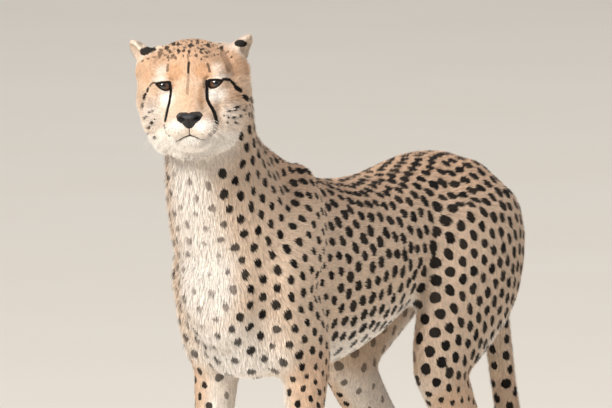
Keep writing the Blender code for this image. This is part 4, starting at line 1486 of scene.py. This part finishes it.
COAT_PIECES = (
    CoatPiece("coat_head", ("head", "jaw"), Wrap.BACK),
    CoatPiece("coat_ears", ("ear",), Wrap.RISE),
    CoatPiece("coat_neck", ("neck",), Wrap.DOWN),
    CoatPiece("coat_trunk", ("trunk",), Wrap.BACK),
    CoatPiece("coat_foreleg_left", ("forearm", "wrist"), Wrap.DOWN, 1),
    CoatPiece("coat_foreleg_right", ("forearm", "wrist"), Wrap.DOWN, -1),
    CoatPiece("coat_hindleg_left", ("thigh", "shank", "hock"), Wrap.DOWN, 1),
    CoatPiece("coat_hindleg_right", ("thigh", "shank", "hock"), Wrap.DOWN, -1),
    CoatPiece("coat_paws", ("paw",), Wrap.BACK),
    CoatPiece("coat_tail", ("tail_base", "tail_middle", "tail_tip"), Wrap.TAIL),
)


@dataclass
class Coat:
    """The coat: thin closed tufts that lie along the body, in pieces of a size that keeps every tuft."""

    skin: Skin
    finish: bpy.types.Material
    largest: int = 47000
    patch: float = 0.003
    painted: float = 0.95
    seed: int = 5
    carried: tuple[str, ...] = ("mark", "ink", "tan", "white", "downward", "pad")

    def build(self) -> list[bpy.types.Object]:
        """Grows every piece.

        Returns:
            The pieces.
        """
        made = []
        for number, piece in enumerate(COAT_PIECES):
            made += self.grow(piece, np.random.default_rng(self.seed + number))
        return made

    def grow(self, piece: CoatPiece, rng: np.random.Generator) -> list[bpy.types.Object]:
        """Grows one piece, split where it would be too large.

        Args:
            piece: what it covers.
            rng: where its chance comes from.

        Returns:
            Its objects.
        """
        skin = self.skin
        surface, fields = skin.surface, skin.fields
        chosen = skin.on(*piece.parts)
        if piece.side:
            chosen &= np.sign(surface.points[:, 0]) == piece.side
        faces = surface.faces[chosen[surface.faces].sum(axis=1) >= 2]
        a, b, c = (surface.points[faces[:, corner]] for corner in range(3))
        area = np.linalg.norm(np.cross(b - a, c - a), axis=1) / 2
        bare = np.maximum.reduce((self.openings(), ramp(fields["pad"], 0.1, 0.4)))
        wanted = area * (fields["density"] * (1 - bare))[faces].mean(axis=1)
        total = int(wanted.sum())
        picked = faces[rng.choice(len(faces), total, p=wanted / wanted.sum())]
        weights = rng.dirichlet((1, 1, 1), total)

        def at(values: np.ndarray) -> np.ndarray:
            """Values between the corners of the picked triangles."""
            return np.einsum("nc...,nc->n...", values[picked], weights)

        normals = unit(at(surface.normals()))
        flow = at(skin.flow)
        flow = unit(flow - np.sum(flow * normals, axis=1)[:, None] * normals)
        places = at(surface.points)
        line = Centreline.through(surface.points[np.unique(faces)], piece.wrap.value, 18)
        along, heading, offset = line.locate(places)
        order = np.argsort(along)
        tufts = {
            "place": places, "normal": normals, "flow": flow,
            "along": along, "heading": heading, "offset": offset,
            "length": at(fields["length"]) * MILLIMETRE, "width": at(fields["width"]) * MILLIMETRE,
            "rise": at(fields["rise"]), "mark_climb": at(fields["mark_climb"]),
            **{name: at(fields[name]) for name in self.carried},
        }  # fmt: skip
        parts = math.ceil(total / self.largest)
        made = []
        for number in range(parts):
            chosen = order[total * number // parts : total * (number + 1) // parts]
            name = piece.name if parts == 1 else f"{piece.name}_{number + 1}"
            made.append(self.mesh(name, {key: value[chosen] for key, value in tufts.items()}, rng))
        return made

    def openings(self) -> np.ndarray:
        """1 where the skin stays bare: between the lids, under the nose pad and on the mouth's line."""
        skin = self.skin
        local = skin.head.local(skin.surface.points)
        ahead = (skin.face > 0.2) & (local[:, 1] < 0.02)
        bare = np.zeros(len(local))
        for lids in skin.lids:
            bare = np.maximum(bare, ramp(lids.distance(local), 0.0008, 0.0001))
        bare = np.maximum(bare, ramp(MOUTH.distance(local[:, 0], local[:, 2]), 0.0012, 0.0006))
        bare = np.maximum(bare, ramp(NosePad.distance(local), 0.0010, 0.0))
        return np.where(ahead, bare, 0.0)

    def mesh(self, name: str, tufts: dict[str, np.ndarray], rng: np.random.Generator) -> bpy.types.Object:
        """Builds one mesh of tufts, each a ridged spike of four triangles.

        Args:
            name: the piece's name.
            tufts: an array of each property, one row for each tuft.
            rng: where its chance comes from.

        Returns:
            The piece.
        """
        count = len(tufts["place"])
        normal, flow = tufts["normal"], tufts["flow"]
        side = np.cross(normal, flow)
        yaw = rng.normal(0, 0.16, count)[:, None]
        flow = unit(flow + side * yaw)
        side = np.cross(normal, flow)
        length = (tufts["length"] * rng.uniform(0.75, 1.2, count))[:, None]
        width = (tufts["width"] * rng.uniform(0.75, 1.25, count))[:, None] / 2
        rise = (tufts["rise"] * rng.uniform(0.5, 1.25, count))[:, None] * length
        sink = np.minimum(0.0012, width)
        root = tufts["place"] - flow * length * 0.55 - normal * sink
        tip = tufts["place"] + flow * length * 0.45 + normal * rise
        left, right = root - side * width, root + side * width
        ridge = root + normal * width * 0.75 + flow * length * 0.12
        points = np.stack((left, right, ridge, tip), axis=1).reshape(-1, 3)
        corner = np.array(((0, 2, 3), (2, 1, 3), (1, 0, 3), (0, 1, 2)))
        faces = (np.arange(count)[:, None, None] * 4 + corner).reshape(-1, 3)
        mesh = bpy.data.meshes.new(name)
        mesh.from_pydata(points, [], faces.tolist())
        # Each tuft gets a random lightness. Painted shade darkens it towards its root, where the tufts above
        # would shade it, and its tip is slightly lighter.
        shade = rng.normal(0.98, 0.07, count)
        shades = np.stack((shade * 0.72, shade * 0.72, shade * 0.82, shade * 1.06), axis=1).ravel()
        self.store(mesh, "shade", shades)
        for key in self.carried:
            self.store(mesh, key, np.repeat(tufts[key], 4))
        along = np.array((-0.55, -0.55, -0.43, 0.45)) * self.painted
        marks = tufts["mark"][:, None] + tufts["mark_climb"][:, None] * length * along
        self.store(mesh, "mark", marks.ravel())
        self.unwrap(mesh, tufts, faces)
        obj = Bench.new(name, mesh)
        Bench.dress(obj, self.finish, "coat")
        return obj

    @staticmethod
    def store(mesh: bpy.types.Mesh, name: str, values: np.ndarray) -> None:
        """Keeps one number for each point under a name."""
        layer = mesh.attributes.get(name) or mesh.attributes.new(name, "FLOAT", "POINT")
        layer.data.foreach_set("value", values.astype(np.float32))

    def unwrap(self, mesh: bpy.types.Mesh, tufts: dict[str, np.ndarray], faces: np.ndarray) -> None:
        """Lays each tuft as a small patch at its root's place on the unwrapped skin.

        Args:
            mesh: the tufts' mesh.
            tufts: their properties.
            faces: the mesh's triangles.
        """
        heading, offset = tufts["heading"], tufts["offset"]
        first = unit(np.cross(heading, (1.0, 0.0, 0.0)))
        second = np.cross(heading, first)
        turn = np.arctan2(np.sum(offset * second, 1), np.sum(offset * first, 1)) / math.tau + 0.5
        run = tufts["along"] - tufts["along"].min()
        centre = np.stack((turn, run / max(run.max(), 1e-6)), axis=1) * (1 - 2 * self.patch) + self.patch
        corner = np.array(((-0.5, -0.5), (0.5, -0.5), (0.0, -0.1), (0.0, 0.5))) * self.patch
        places = (centre[:, None, :] + corner).reshape(-1, 2)
        layer = mesh.uv_layers.new(name="OFBake")
        layer.data.foreach_set("uv", places[faces.ravel()].ravel().astype(np.float32))


# ---------------------------------------------------------------- eyes, nose, whiskers and claws
@dataclass
class Eye:
    """One eyeball with its iris and pupil turned where the animal looks."""

    name: str
    head: HeadAxes
    bulge: float = 0.0007
    cornea: float = 0.0066

    def build(self, finish: bpy.types.Material) -> bpy.types.Object:
        """Makes the eye.

        Args:
            finish: its material.

        Returns:
            The eye's object.
        """
        centre = middle(f"eye_{self.name}")
        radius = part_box(f"eye_{self.name}")[1].z - centre[2]
        obj = Bench.primitive(f"eyeball_{self.name}", "uv_sphere", segments=56, ring_count=40, radius=radius)
        points = points_of(obj.data)
        gaze = unit(self.head.direction(np.array((0.10 * SIDES[self.name], -1.0, -0.02))))
        across = unit(np.cross(gaze, (0, 0, 1)))
        turn = np.array((across, np.cross(across, gaze) * -1, gaze))
        off = np.hypot(points[:, 0], points[:, 1])
        points[:, 2] += np.where(points[:, 2] > 0, self.bulge * (1 - ramp(off, 0.0, self.cornea * 1.3)), 0)
        angle = np.arctan2(off, points[:, 2])
        obj.data.vertices.foreach_set("co", (points @ turn + centre).ravel())
        Coat.store(obj.data, "ring", angle * radius / MILLIMETRE)
        obj.data.shade_smooth()
        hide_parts(f"eye_{self.name}")
        Bench.dress(obj, finish, "eye")
        return obj


@dataclass
class NosePad:
    """The bare nose: a heart-shaped pad with two nostrils, laid on the skin."""

    head: HeadAxes
    skin: Skin
    thickness: float = 0.0016
    nostril: Point = (1.05, -4.80)

    OUTLINE = (
        (0.0, -4.02), (0.80, -3.86), (1.50, -3.90), (1.90, -4.35), (1.74, -4.85), (1.34, -5.18),
        (0.95, -5.42), (0.70, -5.75), (0.32, -6.12), (-0.32, -6.12), (-0.70, -5.75), (-0.95, -5.42),
        (-1.34, -5.18), (-1.74, -4.85), (-1.90, -4.35), (-1.50, -3.90), (-0.80, -3.86),
    )  # fmt: skip
    MIDDLE = -4.85

    @classmethod
    def reach(cls, angle: np.ndarray) -> np.ndarray:
        """How far the pad's edge is from its middle in each direction, in metres."""
        knots = np.array(cls.OUTLINE) - (0, cls.MIDDLE)
        turns = np.arctan2(knots[:, 1], knots[:, 0])
        order = np.argsort(turns)
        turns, reach = turns[order], np.hypot(*knots[order].T)
        turns = np.concatenate((turns - math.tau, turns, turns + math.tau))
        return np.interp(angle, turns, np.tile(reach, 3)) * CENTIMETRE

    @classmethod
    def distance(cls, local: np.ndarray) -> np.ndarray:
        """How far points of the head's frame are outside the pad's edge as seen from ahead."""
        dx, dz = local[:, 0], local[:, 2] - cls.MIDDLE * CENTIMETRE
        return np.hypot(dx, dz) - cls.reach(np.arctan2(dz, dx))

    def build(self, finish: bpy.types.Material) -> bpy.types.Object:
        """Makes the pad.

        Args:
            finish: its material.

        Returns:
            The pad's object.
        """
        obj = Bench.primitive("nose_pad", "uv_sphere", segments=96, ring_count=64, radius=1.0)
        points = points_of(obj.data)
        angle = np.arctan2(points[:, 1], points[:, 0])
        share = np.hypot(points[:, 0], points[:, 1])
        reach = self.reach(angle) * share
        x, z = np.cos(angle) * reach, np.sin(angle) * reach + self.MIDDLE * CENTIMETRE
        depth = self.skin.met_from_ahead(x, z)[:, 1]
        depth = np.where(np.isnan(depth), np.nanmean(depth), depth)
        dome = self.thickness * np.sqrt(np.clip(1 - share**4, 0, 1))
        dome += 0.0012 * np.exp(-(((np.abs(x) - 0.0095) / 0.006) ** 2 + ((z + 0.0425) / 0.005) ** 2))
        depth -= self.skin.bed(np.stack((x, depth, z), axis=1))
        slit = self.nostrils(x, z)
        groove = 0.0012 * np.exp(-((x / 0.0009) ** 2)) * ramp(z, -0.046, -0.052)
        front = depth - dome + 0.0052 * slit + groove
        y = np.where(points[:, 2] >= 0, front, depth + 0.0030 + 0.004 * (1 - share))
        places = self.head.world(np.stack((x, y, z), axis=1))
        obj.data.vertices.foreach_set("co", places.ravel())
        obj.data.update()
        Bench.turn_outward(obj.data)
        obj.data.shade_smooth()
        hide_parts("nose")
        Bench.dress(obj, finish, "nose")
        return obj

    def nostrils(self, x: np.ndarray, z: np.ndarray) -> np.ndarray:
        """How deep each place lies in a nostril, from 0 to 1."""
        middle_x, middle_z = (value * CENTIMETRE for value in self.nostril)
        side = np.abs(x) - middle_x
        hook = z - middle_z - 0.35 * side
        round_part = np.exp(-((side / 0.0034) ** 2 + (hook / 0.0020) ** 2))
        tail = np.exp(-(((side - 0.0050) / 0.0040) ** 2 + ((hook + 0.0012) / 0.0011) ** 2))
        return np.clip(round_part + 0.8 * tail, 0, 1)


@dataclass
class Whiskers:
    """Stiff hairs from the whisker pads and over the eyes, in one mesh."""

    head: HeadAxes
    skin: Skin
    steps: int = 7
    thickness: float = 0.00030
    length: float = 0.040
    seed: int = 3

    def build(self, finish: bpy.types.Material) -> bpy.types.Object:
        """Makes the whiskers.

        Args:
            finish: their material.

        Returns:
            The whiskers' object.
        """
        rng = np.random.default_rng(self.seed)
        roots = [(x, z, self.length, -0.55) for x, z in WHISKER_ROWS if abs(x) > 1.6]
        brows = [side * (3.2 + 0.3 * n) for side in SIDES.values() for n in range(3)]
        roots += [(x, 1.9, self.length * 0.55, 0.9) for x in brows]
        x, z = np.array([root[:2] for root in roots]).T * CENTIMETRE
        points, faces = [], []
        for root, (_, _, length, heading) in zip(self.skin.met_from_ahead(x, z), roots):
            if math.isnan(root[0]):
                continue
            forward, up = rng.normal(0, 0.08), rng.normal(0, 0.10)
            way = unit(np.array((math.copysign(0.62, root[0]), -0.16 + forward, heading * 0.55 + up)))
            length *= rng.uniform(0.7, 1.1)
            first = len(points)
            for step in range(self.steps + 1):
                share = step / self.steps
                drop = np.array((0, 0.65, -0.45)) * share**2 * length * (0.8 if heading < 0 else -0.2)
                middle_point = root + way * length * share + drop - way * 0.001
                width = self.thickness * (1 - 0.85 * share)
                for corner in range(3):
                    angle = math.tau * corner / 3
                    points.append(middle_point + width * np.array((0, math.cos(angle), math.sin(angle))))
            for step in range(self.steps):
                base = first + 3 * step
                for corner in range(3):
                    beside = (corner + 1) % 3
                    faces.append((base + corner, base + beside, base + 3 + beside, base + 3 + corner))
            faces.append((first + 2, first + 1, first))
            faces.append(tuple(first + 3 * self.steps + corner for corner in range(3)))
        mesh = bpy.data.meshes.new("whiskers")
        mesh.from_pydata(self.head.world(np.array(points)).tolist(), [], faces)
        Bench.turn_outward(mesh)
        obj = Bench.new("whiskers", mesh)
        Bench.dress(obj, finish, "coat")
        return obj


@dataclass
class Claws:
    """Each foot's claws, rounded from the solids, in one piece a foot."""

    roundness: int = 2

    def build(self, finish: bpy.types.Material) -> list[bpy.types.Object]:
        """Makes every foot's claws.

        Args:
            finish: their material.

        Returns:
            The pieces.
        """
        made = []
        for end in ENDS:
            for name in SIDES:
                nodes = [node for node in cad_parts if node.startswith(f"claw_{end}_{name}")]
                nodes += [f"dewclaw_{name}"] if end == "fore" else []
                obj = Bench.gathered(f"claws_{end}_{name}", nodes)
                Bench.modify(obj, "SUBSURF", levels=self.roundness, render_levels=self.roundness)
                obj.data.shade_smooth()
                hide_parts(*nodes)
                Bench.dress(obj, finish, "claw")
                made.append(obj)
        return made


# ---------------------------------------------------------------- the stage
@dataclass(frozen=True)
class Lamp:
    """A soft square light: its distance and width in metres, its power in watts and its colour."""

    name: str
    distance: float
    size: float
    power: float
    colour: Colour

    def hang(self, target: Vector, way: Vector) -> None:
        """Hangs the light so that it faces the target from that way."""
        light = bpy.data.lights.new(self.name, "AREA")
        light.size = self.size
        light.energy = self.power
        light.color = self.colour
        made = bpy.data.objects.new(self.name, light)
        made.location = target + way.normalized() * self.distance
        made.rotation_mode = "QUATERNION"
        made.rotation_quaternion = (-way).to_track_quat("-Z", "Y")
        bpy.context.scene.collection.objects.link(made)


@dataclass
class Studio:
    """A pale floor, soft light from the animal's upper right, and a camera at a low three-quarter view."""

    head: HeadAxes
    azimuth: float = math.radians(30)
    elevation: float = math.radians(5)
    frame_width: float = 0.861972
    eyes_left: float = 0.1634
    eyes_up: float = 0.1683
    distance: float = 14.0
    floor_size: float = 90.0
    key: Lamp = Lamp("key", 4.6, 1.3, 262, (1.0, 0.965, 0.92))
    fill: Lamp = Lamp("fill", 5.0, 3.2, 18, (0.93, 0.96, 1.0))
    ceiling: Lamp = Lamp("ceiling", 11.0, 34.0, 2900, (1.0, 0.985, 0.96))
    sky_colour: Colour = (0.86, 0.90, 1.0)
    sky_strength: float = 0.22

    def build(self) -> None:
        """Sets floor, lights and camera."""
        self.floor()
        back, right, up = self.axes()
        target = Vector(self.head.origin) + right * self.eyes_left - up * self.eyes_up
        self.key.hang(target, -0.50 * right + 0.50 * up + 0.85 * back)
        self.fill.hang(target, 0.9 * right + 0.35 * up + 0.8 * back)
        self.ceiling.hang(Vector((0, 4, 0)), Vector((0, 0, 1)))
        self.sky()
        self.camera(target, back)

    def axes(self) -> tuple[Vector, Vector, Vector]:
        """The camera's directions: back to it, right and up."""
        a, e = self.azimuth, self.elevation
        back = Vector((math.sin(a) * math.cos(e), -math.cos(a) * math.cos(e), math.sin(e)))
        right = Vector((math.cos(a), math.sin(a), 0))
        return back, right, back.cross(right)

    def floor(self) -> None:
        """Lays the floor."""
        obj = Bench.primitive("floor", "plane", size=self.floor_size)
        obj.data.materials.append(FloorFinish().material("studio_floor"))

    def sky(self) -> None:
        """Fills the room with soft, even light."""
        world = bpy.data.worlds.new("studio")
        bpy.context.scene.world = world
        world.use_nodes = True
        background = world.node_tree.nodes["Background"]
        background.inputs["Color"].default_value = (*self.sky_colour, 1)
        background.inputs["Strength"].default_value = self.sky_strength

    def camera(self, target: Vector, back: Vector) -> None:
        """Places the camera."""
        lens = bpy.data.cameras.new("camera")
        made = bpy.data.objects.new("camera", lens)
        bpy.context.scene.collection.objects.link(made)
        made.location = target + back * self.distance
        made.rotation_mode = "QUATERNION"
        made.rotation_quaternion = (-back).to_track_quat("-Z", "Y")
        lens.lens = lens.sensor_width * self.distance / self.frame_width
        lens.clip_end = 200
        bpy.context.scene.camera = made
        bpy.context.scene.view_settings.view_transform = "Standard"


def main() -> None:
    """Builds the skin, the coat, the small pieces and the studio."""
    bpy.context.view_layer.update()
    head = HeadAxes.read()
    finish = CoatFinish()
    skin = Skin(head)
    obj = skin.build()
    for key in ("shade", *Coat.carried):
        Coat.store(obj.data, key, skin.fields[key])
    obj.data.shade_smooth()
    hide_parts(*flesh())
    Bench.dress(obj, finish.material("skin", fibrous=True), "coat")
    Coat(skin, finish.material("fur", fibrous=False)).build()
    eye_finish = EyeFinish().material("eye")
    for name in SIDES:
        Eye(name, head).build(eye_finish)
    NosePad(head, skin).build(NoseFinish().material("nose_leather"))
    Whiskers(head, skin).build(WhiskerFinish().material("whisker"))
    Claws().build(ClawFinish().material("horn"))
    Studio(head).build()
    bpy.context.view_layer.update()


if __name__ == "__main__":
    main()
